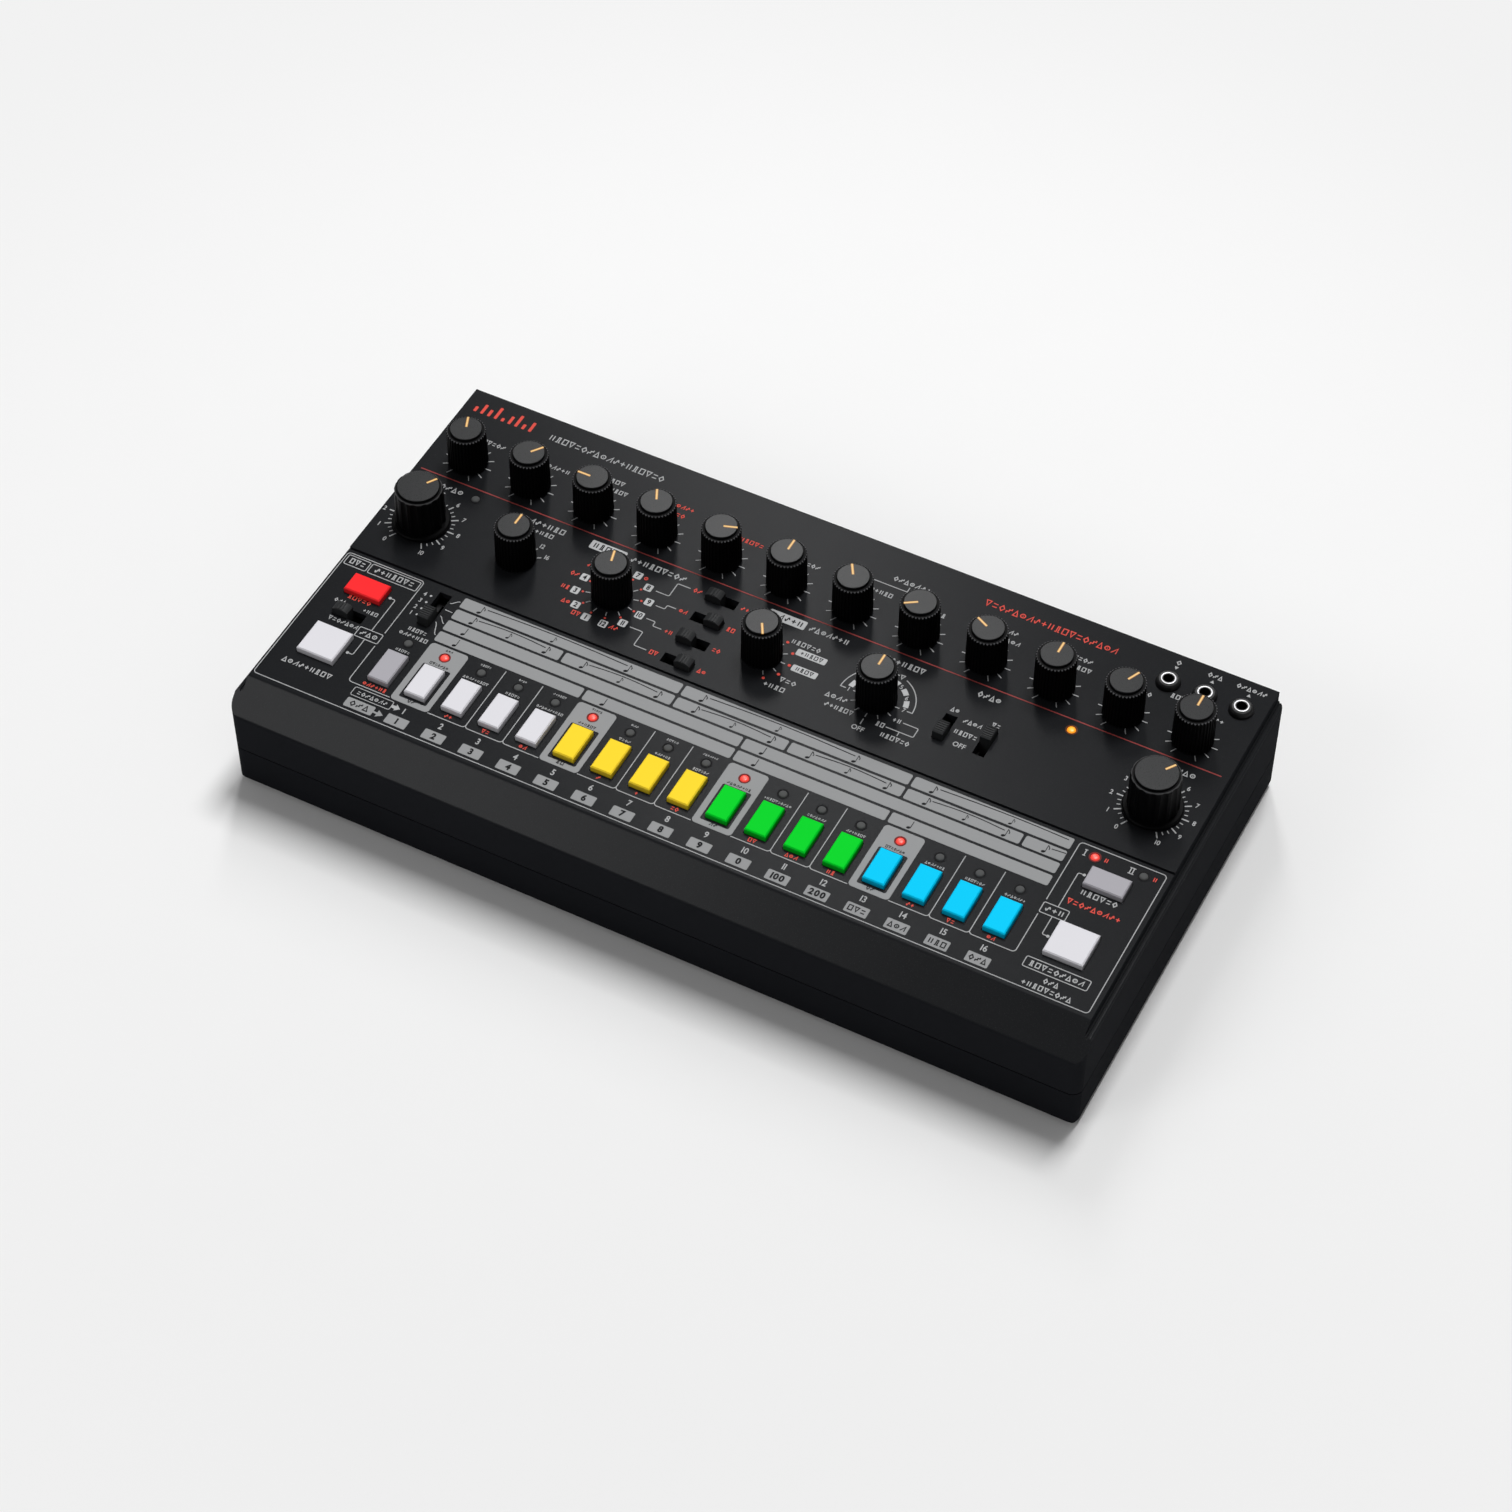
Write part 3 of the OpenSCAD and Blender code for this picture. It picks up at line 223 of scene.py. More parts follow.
def knob_material(name, top_z, highlight_share, highlight_rgb):
    """Black moulding, with a smoother, paler disc in its top, and a painted highlight: a paler ring on the crown
    where the flutes end, standing in for light catching their edges.
    """
    mat = moulded(name, (7, 7, 8), 0.5, 0.06, 0.25, 0.12)
    tree, bsdf = shader(mat)
    coord = add(tree, "TexCoord").outputs
    height = add(tree, "SeparateXYZ", {0: coord["Object"]}).outputs["Z"]
    spun = add(tree, "SeparateXYZ", {0: coord["Generated"]}).outputs
    disc = maths(tree, "GREATER_THAN", height, (top_z - DISC_DEPTH) * MM)
    dx, dy = (scaled(tree, spun[axis], 2.0, -1.0) for axis in "XY")
    squares = scaled(tree, dx, dx, maths(tree, "MULTIPLY", dy, dy))
    # Painted highlight: paler colour on the crown, outside the given share of the knob's radius and near its top,
    # stands in for light on the flute tips.
    rim = maths(tree, "GREATER_THAN", maths(tree, "SQRT", squares, 0.0), highlight_share)
    above = maths(tree, "GREATER_THAN", height, (top_z - HIGHLIGHT_DEPTH) * MM)
    painted_highlight = maths(tree, "MULTIPLY", rim, above)
    highlighted = blend(tree, painted_highlight, source(bsdf, "Base Color"), colour(highlight_rgb))
    feed(bsdf, {
        "Base Color": blend(tree, disc, highlighted, colour(KNOB_DISC)),
        "Roughness": scaled(tree, disc, -0.2, source(bsdf, "Roughness")),
        "Specular IOR Level": scaled(tree, disc, 0.12, 0.06),
    })
    return mat


def glowing(name, rgb, heart, strength, panel_z):
    """A lit lens: palest at the top of its dome and deeper towards its foot."""
    mat, tree, bsdf = new_material(name)
    coord = add(tree, "TexCoord").outputs["Object"]
    height = add(tree, "MapRange", {
        "Value": add(tree, "SeparateXYZ", {0: coord}).outputs["Z"],
        "From Min": (panel_z + LENS_DEEP) * MM,
        "From Max": (panel_z + LENS_PALE) * MM,
    })
    feed(bsdf, {
        "Emission Color": blend(tree, height.outputs["Result"], colour(rgb), colour(heart)),
        "Emission Strength": strength,
        "Base Color": blend(tree, noise(tree, coord, 0.8), colour(rgb, 0.3), colour(rgb, 0.5)),
        "Roughness": 0.35,
    })
    return mat


def plated(name, rgb=(218, 218, 220)):
    """Satin nickel plate."""
    return moulded(name, rgb, 0.42, 0.5, 0.2, 0.05, 0.04, 0.45)


# ---- Mesh helpers

STRAIGHT = radians(88)


def put(name, data):
    """A new object in the scene."""
    obj = bpy.data.objects.new(name, data)
    bpy.context.scene.collection.objects.link(obj)
    return obj


def shaped(name, verts, faces, materials, body, slot, marks=None, smooth=False):
    """One object from points in millimetres, which rides on a body."""
    mesh = bpy.data.meshes.new(name)
    mesh.from_pydata([Vector(v) * MM for v in verts], [], faces)
    for material in materials:
        mesh.materials.append(material)
    if marks:
        mesh.polygons.foreach_set("material_index", marks)
    work = bmesh.new()
    work.from_mesh(mesh)
    bmesh.ops.recalc_face_normals(work, faces=work.faces)
    work.to_mesh(mesh)
    work.free()
    if smooth:
        mesh.polygons.foreach_set("use_smooth", [True] * len(mesh.polygons))
    obj = put(name, mesh)
    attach(obj, body)
    return obj


def lathe(profile, centre, segments, axis="Z"):
    """Points and faces of a turned form. The profile is a list of (radius, height over the centre)."""
    verts, faces, rings = [], [], []
    for radius, height in profile:
        ring = []
        for i in range(1 if radius < 1e-6 else segments):
            a = 2 * pi * i / segments
            p = (radius * cos(a), radius * sin(a), height)
            if axis == "Y":
                p = (p[0], p[2], -p[1])
            ring.append(len(verts))
            verts.append(tuple(c + o for c, o in zip(p, centre)))
        rings.append(ring)
    for a, b in zip(rings, rings[1:]):
        for i in range(segments):
            j = (i + 1) % segments
            quad = [a[i % len(a)], a[j % len(a)], b[j % len(b)], b[i % len(b)]]
            face = [v for n, v in enumerate(quad) if v not in quad[:n]]
            if len(face) > 2:
                faces.append(face)
    return verts, faces


def joined(parts):
    """Several (points, faces) as one."""
    verts, faces = [], []
    for more_verts, more_faces in parts:
        base = len(verts)
        verts += more_verts
        faces += [[base + v for v in face] for face in more_faces]
    return verts, faces


def sides(start, count, up):
    """Faces between a closed loop of points and the same loop, that many places further on."""
    ends = [(start + i, start + (i + 1) % count) for i in range(count)]
    return [[a, b, b + up, a + up] for a, b in ends]


def filled(loops):
    """Triangles that fill an outline, less any holes given after it."""
    return tessellate_polygon([[Vector((p[0], p[1], 0)) for p in loop] for loop in loops])


def turned(centre, reach, clockwise):
    """The point at that distance from a centre, at an angle read clockwise from the rear."""
    a = radians(clockwise)
    return (centre[0] + reach * sin(a), centre[1] + reach * cos(a))


def arc(centre, radius, start, end, step=6.0):
    count = max(2, round(abs(end - start) / step))
    return [turned(centre, radius, start + (end - start) * i / count) for i in range(count + 1)]


def rounded(path, radius, closed=False, steps=5):
    """The path with each corner turned into an arc."""
    if radius <= 0:
        return list(path)
    points = []
    last = len(path) - 1
    for i, p in enumerate(path):
        if not closed and i in (0, last):
            points.append(p)
            continue
        here = Vector(p)
        back = Vector(path[i - 1]) - here
        ahead = Vector(path[(i + 1) % len(path)]) - here
        half = back.angle(ahead) / 2
        if half > STRAIGHT:
            points.append(p)
            continue
        cut = min(radius / tan(half), min(back.length, ahead.length) / 2)
        back, ahead = back.normalized(), ahead.normalized()
        start, end = here + back * cut, here + ahead * cut
        bisector = (back + ahead).normalized()
        hub = here + bisector * hypot(cut, cut * tan(half))
        first, turn = start - hub, (start - hub).angle_signed(end - hub)
        for n in range(steps + 1):
            a = -turn * n / steps
            spun = Vector((first.x * cos(a) - first.y * sin(a),
                           first.x * sin(a) + first.y * cos(a)))
            points.append(tuple(hub + spun))
    return points


def block(x0, x1, y0, y1, radius=0.0, skew=0.0):
    """The outline of a box with rounded corners; skew leans its right end."""
    corners = [(x0, y0), (x1 + skew, y0), (x1 - skew, y1), (x0, y1)]
    return rounded(corners, radius, closed=True)


def circle(centre, radius, count=24):
    return [turned(centre, radius, 360 * i / count) for i in range(count)]


def ring(centre, outer, inner):
    return circle(centre, outer), circle(centre, inner)


def ribbon(points, width, closed=False):
    """The loops of a line of that width along the points, with mitred corners."""
    left, right = [], []
    count = len(points)
    for i, p in enumerate(points):
        here = Vector(p)
        into = (here - Vector(points[i - 1])).normalized() if closed or i else None
        out = (Vector(points[(i + 1) % count]) - here).normalized() if closed or i < count - 1 else None
        into, out = into or out, out or into
        along = (into + out).normalized()
        side = Vector((-along.y, along.x))
        reach = width / 2 / max(0.5, side.dot(Vector((-into.y, into.x))))
        left.append(tuple(here + side * reach))
        right.append(tuple(here - side * reach))
    return (left, right) if closed else (left + right[::-1],)


# ---- Print

GLYPHS = {}
WEIGHT = 0.016


def glyph(char, weight=WEIGHT):
    """A figure from Blender's own font as (points, faces): one unit high, its left end at 0."""
    key = (char, weight)
    if key not in GLYPHS:
        curve = bpy.data.curves.new("figure", "FONT")
        curve.body = char
        curve.offset = weight
        curve.extrude = 0.5
        curve.resolution_u = 4
        holder = bpy.data.objects.new("figure", curve)
        mesh = bpy.data.meshes.new_from_object(holder)
        points = [tuple(v.co) for v in mesh.vertices]
        faces = [list(p.vertices) for p in mesh.polygons]
        bpy.data.objects.remove(holder)
        bpy.data.meshes.remove(mesh)
        bpy.data.curves.remove(curve)
        left, foot = (min(p[axis] for p in points) for axis in (0, 1))
        scale = FIGURE_SCALE or 1 / (max(p[1] for p in points) - foot)
        points = [((x - left) * scale, (y - foot) * scale, z > 0) for x, y, z in points]
        GLYPHS[key] = (points, faces, scale, max(p[0] for p in points))
    return GLYPHS[key]


# All figures have the scale of a 0 that is one unit high
FIGURE_SCALE = None
FIGURE_SCALE = glyph("0")[2]

INK_SINK = 0.02
INK_THICK = 0.04
INK_APART = 0.003
LINE = 0.3
TICK = 0.34
FIGURE_GAP = 0.13
# The plain signs: whether their lines are closed, and the lines in a cell that reaches 1 each way
SIGNS = [
    (True, [(-1, -1), (1, -1), (1, 1), (-1, 1)]),
    (True, [(-1, -1), (1, -1), (0, 1)]),
    (False, [(-0.7, -1), (-0.7, 1)], [(0.7, -1), (0.7, 1)]),
    (True, [(0, -1), (1, 0), (0, 1), (-1, 0)]),
    (False, [(t / 6, 0.8 * sin(pi * t / 6)) for t in range(-6, 7)]),
    (True, [(-1, 1), (1, 1), (0, -1)]),
    (True,),  # a ring round a dot
    (False, [(-1, -1), (-0.4, -1), (-0.4, 1), (0.4, 1), (0.4, -1), (1, -1)]),
    (False, [(-1, -1), (-1, -0.3), (0, -0.3), (0, 0.4), (1, 0.4), (1, 1)]),
    (False, [(-1, 0), (1, 0)], [(0, -0.8), (0, 0.8)]),
    (False, [(-1, -0.6), (1, -0.6)], [(-1, 0.6), (1, 0.6)]),
    (False, [(-1, -1), (1, 1), (1, -1)]),
]


class Ink:
    """Printed marks of one colour: thin prisms that stand a hair above what they are printed on.

    They are drawn on the panel, or at 0 where a place function then lays them where they belong.
    """

    panel_z = LOWER_Z

    def __init__(self, name, material, slot, lift=0.0, place=None, body="body"):
        self.title, self.material, self.slot, self.lift = name, material, slot, lift
        self.place, self.body = place, body
        self.drawn, self.verts, self.faces = 0, [], []

    def levels(self):
        """The foot and the top of the next shape. Shapes that follow one another never share a height."""
        base = 0.0 if self.place else Ink.panel_z
        self.drawn += 1
        return base - INK_SINK, base + INK_THICK + self.lift + self.drawn % 3 * INK_APART

    def fill(self, *loops):
        """A filled shape: the first loop is its outline, and any others are holes in it."""
        flat = [p for loop in loops for p in loop]
        start, count = len(self.verts), len(flat)
        for z in self.levels():
            self.verts += [(p[0], p[1], z) for p in flat]
        for face in filled(loops):
            self.faces.append([start + count + v for v in face])
            self.faces.append([start + v for v in face[::-1]])
        for loop in loops:
            self.faces += sides(start, len(loop), count)
            start += len(loop)

    def line(self, path, radius=0.0, width=LINE, closed=False):
        self.fill(*ribbon(rounded(path, radius, closed), width, closed))

    def box(self, x0, x1, y0, y1, radius, width=LINE):
        self.line(block(x0, x1, y0, y1, radius), 0.0, width, True)

    def patch(self, x0, x1, y0, y1, radius, skew=0.0):
        self.fill(block(x0, x1, y0, y1, radius, skew))

    def dot(self, centre, radius):
        self.fill(circle(centre, radius, 16))

    def figures(self, text, x, y, height, squeeze=0.86, weight=WEIGHT):
        """Figures centred on a point."""
        total = sum(glyph(c, weight)[3] * squeeze + FIGURE_GAP for c in text) - FIGURE_GAP
        at = x - total * height / 2
        floor_z, top_z = self.levels()
        for char in text:
            points, faces, _, width = glyph(char, weight)
            base = len(self.verts)
            self.verts += [(at + px * height * squeeze, y + (py - 0.5) * height, top_z if up else floor_z)
                           for px, py, up in points]
            self.faces += [[base + v for v in face] for face in faces]
            at += (width * squeeze + FIGURE_GAP) * height

    def signs(self, x0, x1, y, height, first=0, share=TICK):
        """A row of plain signs in the place of a word, in lines of that share of half its height."""
        count = max(1, round((x1 - x0) / (height * 0.92)))
        pitch = (x1 - x0) / count
        pen = height / 2 * share
        w, h = min(pitch * 0.4, height * 0.42) - pen / 2, height / 2 - pen / 2
        for i in range(count):
            x = x0 + pitch * (i + 0.5)
            closed, *strokes = SIGNS[(first + i * 5) % len(SIGNS)]
            for stroke in strokes:
                self.line([(x + px * w, y + py * h) for px, py in stroke], 0.0, pen, closed)
            if not strokes:
                self.fill(*ring((x, y), min(w, h) + pen / 2, min(w, h) - pen / 2))
                self.dot((x, y), pen * 0.55)

    def rows(self, *rows):
        """Several rows of signs: the ends, the middle line, the height and the first sign of each."""
        for row in rows:
            self.signs(*row)

    def about(self, x, reach, *row):
        """A row of signs with its middle at x."""
        self.signs(x - reach, x + reach, *row)

    def made(self):
        verts = [self.place(*v) for v in self.verts] if self.place else self.verts
        shaped(self.title, verts, self.faces, [self.material], self.body, self.slot)


def on_rear_wall(x, y, z):
    """A mark drawn as it is seen from behind, with y as its height."""
    return (-x, REAR_WALL + z, y)


def on_rocker(x, y, z):
    """A mark drawn as it is seen from behind, on the rocker's bowed face, with y from its middle."""
    out = ROCKER_FACE - ROCKER_BOW * (1 - abs(y) / ROCKER_HALF) + z
    c, s = cos(ROCKER_TILT), sin(ROCKER_TILT)
    return (ROCKER_AXLE.x - x, ROCKER_AXLE.y + out * c - y * s, ROCKER_AXLE.z + out * s + y * c)


# ---- Inks, in the order in which they become pieces

def print_ink(name, rgb, slot, lift=0.0, specular=0.1):
    material = moulded(f"print_{name}", rgb, 0.5, specular, 0.15, 0.05, 0.05)
    return Ink(f"print_{name}_marks", material, slot, lift)


# Painted glow: rings of red or amber colour printed round a lit lamp, standing in for the light its lens throws on
# the panel.
def seat_ink(name, glow, rgb):
    return Ink(name, moulded(glow, rgb, 0.6, 0.2, 0.2, 0.05, 0.1), "lamp_lens", INK_THICK * 1.6)


GREY = print_ink("grey", (172, 173, 174), "key_grey", INK_THICK / 4)
PALE = print_ink("pale", (188, 189, 190), "key_white", INK_THICK / 2)
CELL = print_ink("cell", (146, 147, 148), "key_grey")
RED = print_ink("red", (218, 78, 66), "key_red", INK_THICK)
DIM = print_ink("dim_red", (150, 62, 60), "key_red", INK_THICK / 2)
BLACK = print_ink("black", (24, 24, 26), "case_black", INK_THICK * 1.5, 0.05)
RED_PAINTED_GLOW = seat_ink("lamp_red_painted_glow", "painted_red_glow_ring", (112, 26, 24))
AMBER_PAINTED_GLOW = seat_ink("lamp_amber_painted_glow", "painted_amber_glow_ring", (96, 50, 12))
REAR = Ink("print_rear_marks", GREY.material, "key_grey", place=on_rear_wall)
ON_ROCKER = Ink("print_rocker_marks", PALE.material, "key_white", place=on_rocker, body="power_rocker")
INKS = [GREY, PALE, CELL, RED, DIM, BLACK, RED_PAINTED_GLOW, AMBER_PAINTED_GLOW, REAR, ON_ROCKER]


# ---- The lower panel's print

KEY_GAP = 0.45
LAMP_GAP = 1.75
CELL_HALF = 7.07
CELL_SHIFT = 0.1
CELL_REAR = -29.8
CELL_FRONT = -57.0
LINE_FRONT = -56.8
LINE_CORNER = 1.2
LAMP_RISE = 12.8
LAMP_Y = KEY_Y + LAMP_RISE
FRAME_LEFT = LEFT + 3.3
FRAME_RIGHT = RIGHT - 4.3
FRAME_REAR = -8.05
FRAME_FRONT = -67.8
FRAME_CORNER = 1.3
FIELD_LEFT = -119.84
FIELD_RIGHT = 118.6
NAME_FRONT, NAME_REAR = -39.05, -34.8
DOT_FRONT, DOT_REAR = -46.6, -19.6
COUNT_FRONT, COUNT_REAR = -12.5, -10.1


def draw_cells():
    """The pale cell round each first key of four, and the lines between the others."""
    for i in range(0, 16, 4):
        key_x, x = STEP_X[i], STEP_X[i] - CELL_SHIFT
        outline = block(x - CELL_HALF, x + CELL_HALF, CELL_FRONT, CELL_REAR, 1.4)
        hole = block(key_x - KEY_HALF_X - KEY_GAP, key_x + KEY_HALF_X + KEY_GAP,
                     KEY_Y - KEY_HALF_Y - KEY_GAP, KEY_Y + KEY_HALF_Y + KEY_GAP, 0.6)
        CELL.fill(outline, hole, circle((key_x, LAMP_Y), LAMP_GAP))
        start = x + CELL_HALF
        m1, m2 = ((STEP_X[n] + STEP_X[n + 1]) / 2 for n in (i + 1, i + 2))
        end = STEP_X[i + 4] - CELL_SHIFT - CELL_HALF if i < 12 else FIELD_RIGHT
        GREY.line([(start, LINE_FRONT), (m1, LINE_FRONT), (m1, CELL_REAR)], LINE_CORNER)
        GREY.line([(m1, CELL_REAR), (m1, LINE_FRONT), (m2, LINE_FRONT), (m2, CELL_REAR)], LINE_CORNER)
        tail = [(m2, CELL_REAR), (m2, LINE_FRONT), (end, LINE_FRONT)]
        if i == 12:
            tail.append((end, -40.0))
        GREY.line(tail, LINE_CORNER)


# Half lengths of the marks behind and before each key, and at the first eight lamps
ABOVE = [3.5, 4.7, 2.7, 4.9, 3.2, 2.2, 2.8, 2.9, 4.3, 4.9] + [3.4] * 5 + [3.6]
BELOW = [1.5] * 5 + [0.7] * 2 + [1.5] * 3 + [2.3] + [1.5] * 5
AT_LAMP = [1.3, 2.0, 1.5, 2.4, 1.9, 1.4, 2.2, 2.7]
PILLS = "1 2 3 4 5 6 7 8 9 0 100 200".split()
PILL_Y = -64.6


def draw_step_labels():
    """Numbers under the cells and the marks round each key."""
    for i, x in enumerate(STEP_X):
        in_cell = i % 4 == 0
        tone = BLACK if in_cell else GREY
        GREY.figures(str(i + 1), x, -59.8, 2.5)
        CELL.patch(x - 3.87, x + 3.87, -66.6, -62.6, 0.4)
        if i < len(PILLS):
            BLACK.figures(PILLS[i], x, PILL_Y, 2.4, 0.95, 0.045)
        else:
            BLACK.about(x, 3.2, PILL_Y, 2.3, i)
        tone.about(x, ABOVE[i], -37.7, 1.1, i)
        (BLACK if in_cell else RED).about(x, BELOW[i], -55.2, 1.7, i + 3)
        if i < len(AT_LAMP):
            tone.about(x, AT_LAMP[i], -30.9, 0.9, i + 1)


BARS = [
    (-7.95, -12.5, [-22.0, 60.75]),
    (-13.5, -17.95, [-63.4, -22.0, 19.4, 60.75, 102.1]),
    (-18.9, -23.4, [5.6]),
    (-24.4, -28.85, [-49.5, 5.6, 60.7]),
]
BAR_LEFT = -104.2
BAR_RIGHT = 116.6
BAR_GAP = 0.95
# Notes in threes: starts, keys apart, y and room at the right, then the slur's y, inset and last share
GROUPS = [
    ((-97.2, -14.4, 68.2), 2, -11.7, 5, -9.4, 2.2, 0.85),
    ((-97.2, -55.7, -14.4, 26.9, 68.3, 109.7), 1, -17.0, 4, -14.9, 2.0, 0.19),
]
SLUR_RISE = 0.7
HEAD_TILT = radians(25)


def draw_note(x, y, size=1.0, flag=True):
    """A small note: its slanted head, its stem and its flag."""
    head, c, s = [], cos(HEAD_TILT), sin(HEAD_TILT)
    for i in range(14):
        a = 2 * pi * i / 14
        u, v = 0.72 * size * cos(a), 0.46 * size * sin(a)
        head.append((x + u * c - v * s, y + u * s + v * c))
    BLACK.fill(head)
    stem, top = x + 0.6 * size, y + 3.0 * size
    BLACK.line([(stem, y), (stem, top)], 0.0, 0.22 * size)
    if flag:
        flown = [(stem + 0.85 * size, top - size), (stem + 0.75 * size, top - 1.6 * size)]
        BLACK.line([(stem, top), *flown], 0.0, 0.26 * size)


def draw_slur(x0, x1, y, part):
    steps = [part * i / 12 for i in range(13)]
    BLACK.line([(x0 + (x1 - x0) * t, y + SLUR_RISE * sin(pi * t)) for t in steps])


def draw_bars():
    """Four rows of bars over the keys, with notes that show each scale's beats."""
    for rear, front, gaps in BARS:
        ends = [BAR_LEFT] + [e for g in gaps for e in (g - BAR_GAP / 2, g + BAR_GAP / 2)] + [BAR_RIGHT]
        for x0, x1 in zip(ends[::2], ends[1::2]):
            CELL.patch(x0, x1, front, rear, 0.7)
    for starts, keys, y, room, slur_y, after, part in GROUPS:
        for start in starts:
            for n, size in enumerate((1.0, 0.75, 1.0)):
                x = start + n * keys * PITCH
                if x < BAR_RIGHT - room:
                    draw_note(x, y, size)
            end = start + 2 * keys * PITCH - 0.4
            draw_slur(start + after, end, slur_y, part if start == starts[-1] else 1.0)
    for y, places in ((-22.4, (-97.1, 13.1)), (-27.9, (-97.1, -42.0, 13.1, 68.2))):
        for x in places:
            draw_note(x, y, flag=False)


def draw_scale_switch():
    """Numbers, dots and the curves from the scale switch to the rows of bars."""
    x = mid("scale_lever").x
    x0, x1 = x + 3.1, x + 5.9
    for number, y, bar in ((4, -12.5, -10.4), (3, -15.6, -15.7), (2, -18.7, -21.2), (1, -21.7, -26.7)):
        GREY.figures(str(number), x - 6.3, y, 1.8)
        GREY.dot((x - 4.1, y), 0.42)
        steps = [i / 8 for i in range(9)]
        path = [(x0 + (x1 - x0) * t, y + (bar - y) * (3 * t * t - 2 * t ** 3)) for t in steps]
        GREY.line(path, 0.0, 0.28)
    GREY.rows((-114.4, -107.3, -28.0, 1.7, 2), (-116.2, -105.4, -30.7, 1.7, 6))


def draw_bracket(x0, x1, dot_x, line_x):
    """A box for a name, and the lines from it to the dots beside two keys."""
    GREY.box(x0, x1, NAME_FRONT, NAME_REAR, 0.5)
    GREY.line([(dot_x, DOT_REAR), (line_x, DOT_REAR), (line_x, NAME_REAR)], 0.6)
    GREY.line([(line_x, NAME_FRONT), (line_x, DOT_FRONT), (dot_x, DOT_FRONT)], 0.6)
    for y in (DOT_REAR, DOT_FRONT):
        GREY.dot((dot_x, y), 0.55)


def draw_left_block():
    """Print round the start, clear and grey keys and the two-place switch."""
    shift = mid("shift_key").x
    GREY.line([(FIELD_LEFT, -40.0), (FIELD_LEFT, LINE_FRONT), (STEP_X[0] - 7.2, LINE_FRONT)], FRAME_CORNER)
    draw_bracket(-128.4, -119.7, -126.3, -124.3)
    for x0, x1 in ((-148.3, -139.95), (-139.16, -120.6)):
        GREY.box(x0, x1, -13.15, -8.95, 0.5)
    GREY.rows((-147, -141, -11, 2.4), (-137.5, -122.2, -11, 2.4, 4), (-142.5, -138, -28.2, 1.6, 3),
              (-131.6, -125.8, -28.2, 1.6, 9), (-140.2, -128.8, -35.9, 1.8, 5),
              (-127.4, -120.7, -36.9, 2.1, 8), (-144, -125.2, -58.3, 2.2, 1))
    RED.signs(-139.3, -130.3, -25, 1.8, 7)
    GREY.about(shift, 2.7, -37.7, 1.1, 2)
    RED.about(shift, 4.5, -55.3, 1.7, 6)
    GREY.box(-116.2, -101.7, -61.5, -57.9, 0.6, 0.25)
    GREY.fill([(-101.7, -60.3), (-100.3, -60.3), (-100.3, -61.1), (-98.5, -59.7), (-100.3, -58.3),
               (-100.3, -59.1), (-101.7, -59.1)])
    GREY.signs(-114.7, -103.2, -59.8, 1.7, 10)
    CELL.patch(-116.05, -105.7, -66.5, -62.6, 0.5)
    CELL.fill([(-105.8, -64.9), (-104.3, -64.9), (-104.3, -66.05), (-102.05, -64.55), (-104.3, -63.05),
               (-104.3, -64.2), (-105.8, -64.2)])
    BLACK.signs(-114.6, -107.2, -64.5, 2.4, 3)


def draw_right_block():
    """Print round the bank key, its two lamps and the write key."""
    draw_bracket(118.5, 127.1, 125.05, 123.05)
    GREY.box(122.6, 144.2, -60.3, -56.2, 0.6)
    for x, places, reach in ((121.6, (0.0,), 0.5), (137.5, (-0.5, 0.5), 1.0)):
        for place in places:
            at = x + place * 0.95
            GREY.line([(at, COUNT_FRONT), (at, COUNT_REAR)], 0.0, 0.36)
        for y in (COUNT_FRONT, COUNT_REAR):
            GREY.line([(x - reach, y), (x + reach, y)])
    for x in (128.85, 145.4):
        RED.about(x, 0.8, -11.3, 1.9, 2)
    RED.signs(124.2, 142.6, -31, 2.2, 5)
    GREY.about(mid("bank_key").x, 6.4, -26, 2.2, 2)
    GREY.rows((119.5, 126.2, -36.9, 2.2, 4), (124, 142.7, -58.3, 2.2, 7), (130.8, 136.2, -62.6, 2.1, 3),
              (124.8, 141.9, -65.8, 2.1, 9))


def draw_lower():
    Ink.panel_z = LOWER_Z
    GREY.line([(FIELD_LEFT, -33.7), (FIELD_LEFT, FRAME_REAR), (FRAME_LEFT, FRAME_REAR),
               (FRAME_LEFT, FRAME_FRONT), (FRAME_RIGHT, FRAME_FRONT), (FRAME_RIGHT, FRAME_REAR),
               (FIELD_RIGHT, FRAME_REAR), (FIELD_RIGHT, -33.7)], FRAME_CORNER)
    draw_cells()
    draw_step_labels()
    draw_bars()
    draw_scale_switch()
    draw_left_block()
    draw_right_block()


# ---- The upper panel's print

NAME_Y = 32.2
TITLE_Y = 69.3
TITLE_PEN = 0.27
BAR_FOOT = 68.1
FULL_SCALE = range(-150, 151, 30)


def draw_ticks(centre, angles, inner, outer, width=TICK):
    for a in angles:
        GREY.line([turned(centre, inner, a), turned(centre, outer, a)], 0.0, width)


def draw_figures(centre, figures, angles, reach, height):
    for text, a in zip(figures, angles):
        GREY.figures(str(text), *turned(centre, reach, a), height)


# Half the length of the two names of each level knob, rear and front; 0 is none
LEVEL_NAMES = [(0, 7.9), (0, 8.8), (3.7, 6.8), (6.1, 4.5), (0, 10), (0, 6.7), (0, 9.3), (0, 4.4),
               (4.7, 7), (6.9, 8.2), (0, 5.3), (0, 6.2)]
RED_LEVELS = (3, 4)


def draw_levels():
    """Ticks and name places of the twelve level knobs."""
    for i, name in enumerate(LEVEL_KNOBS):
        centre = mid(name).xy
        draw_ticks(centre, FULL_SCALE, 6.3, 8.7)
        tone = RED if i in RED_LEVELS else GREY
        rear, front = LEVEL_NAMES[i]
        if rear:
            tone.about(centre.x, rear, 61.0, 1.9, i)
        tone.about(centre.x, front, 57.2, 1.9, i + 4)
    GREY.line([(11.9, 61.3), (36.0, 61.3)])
    GREY.line([(24.0, 61.3), (24.0, 63.4)])
    GREY.signs(17.2, 31.0, 65.0, 2.1, 3)


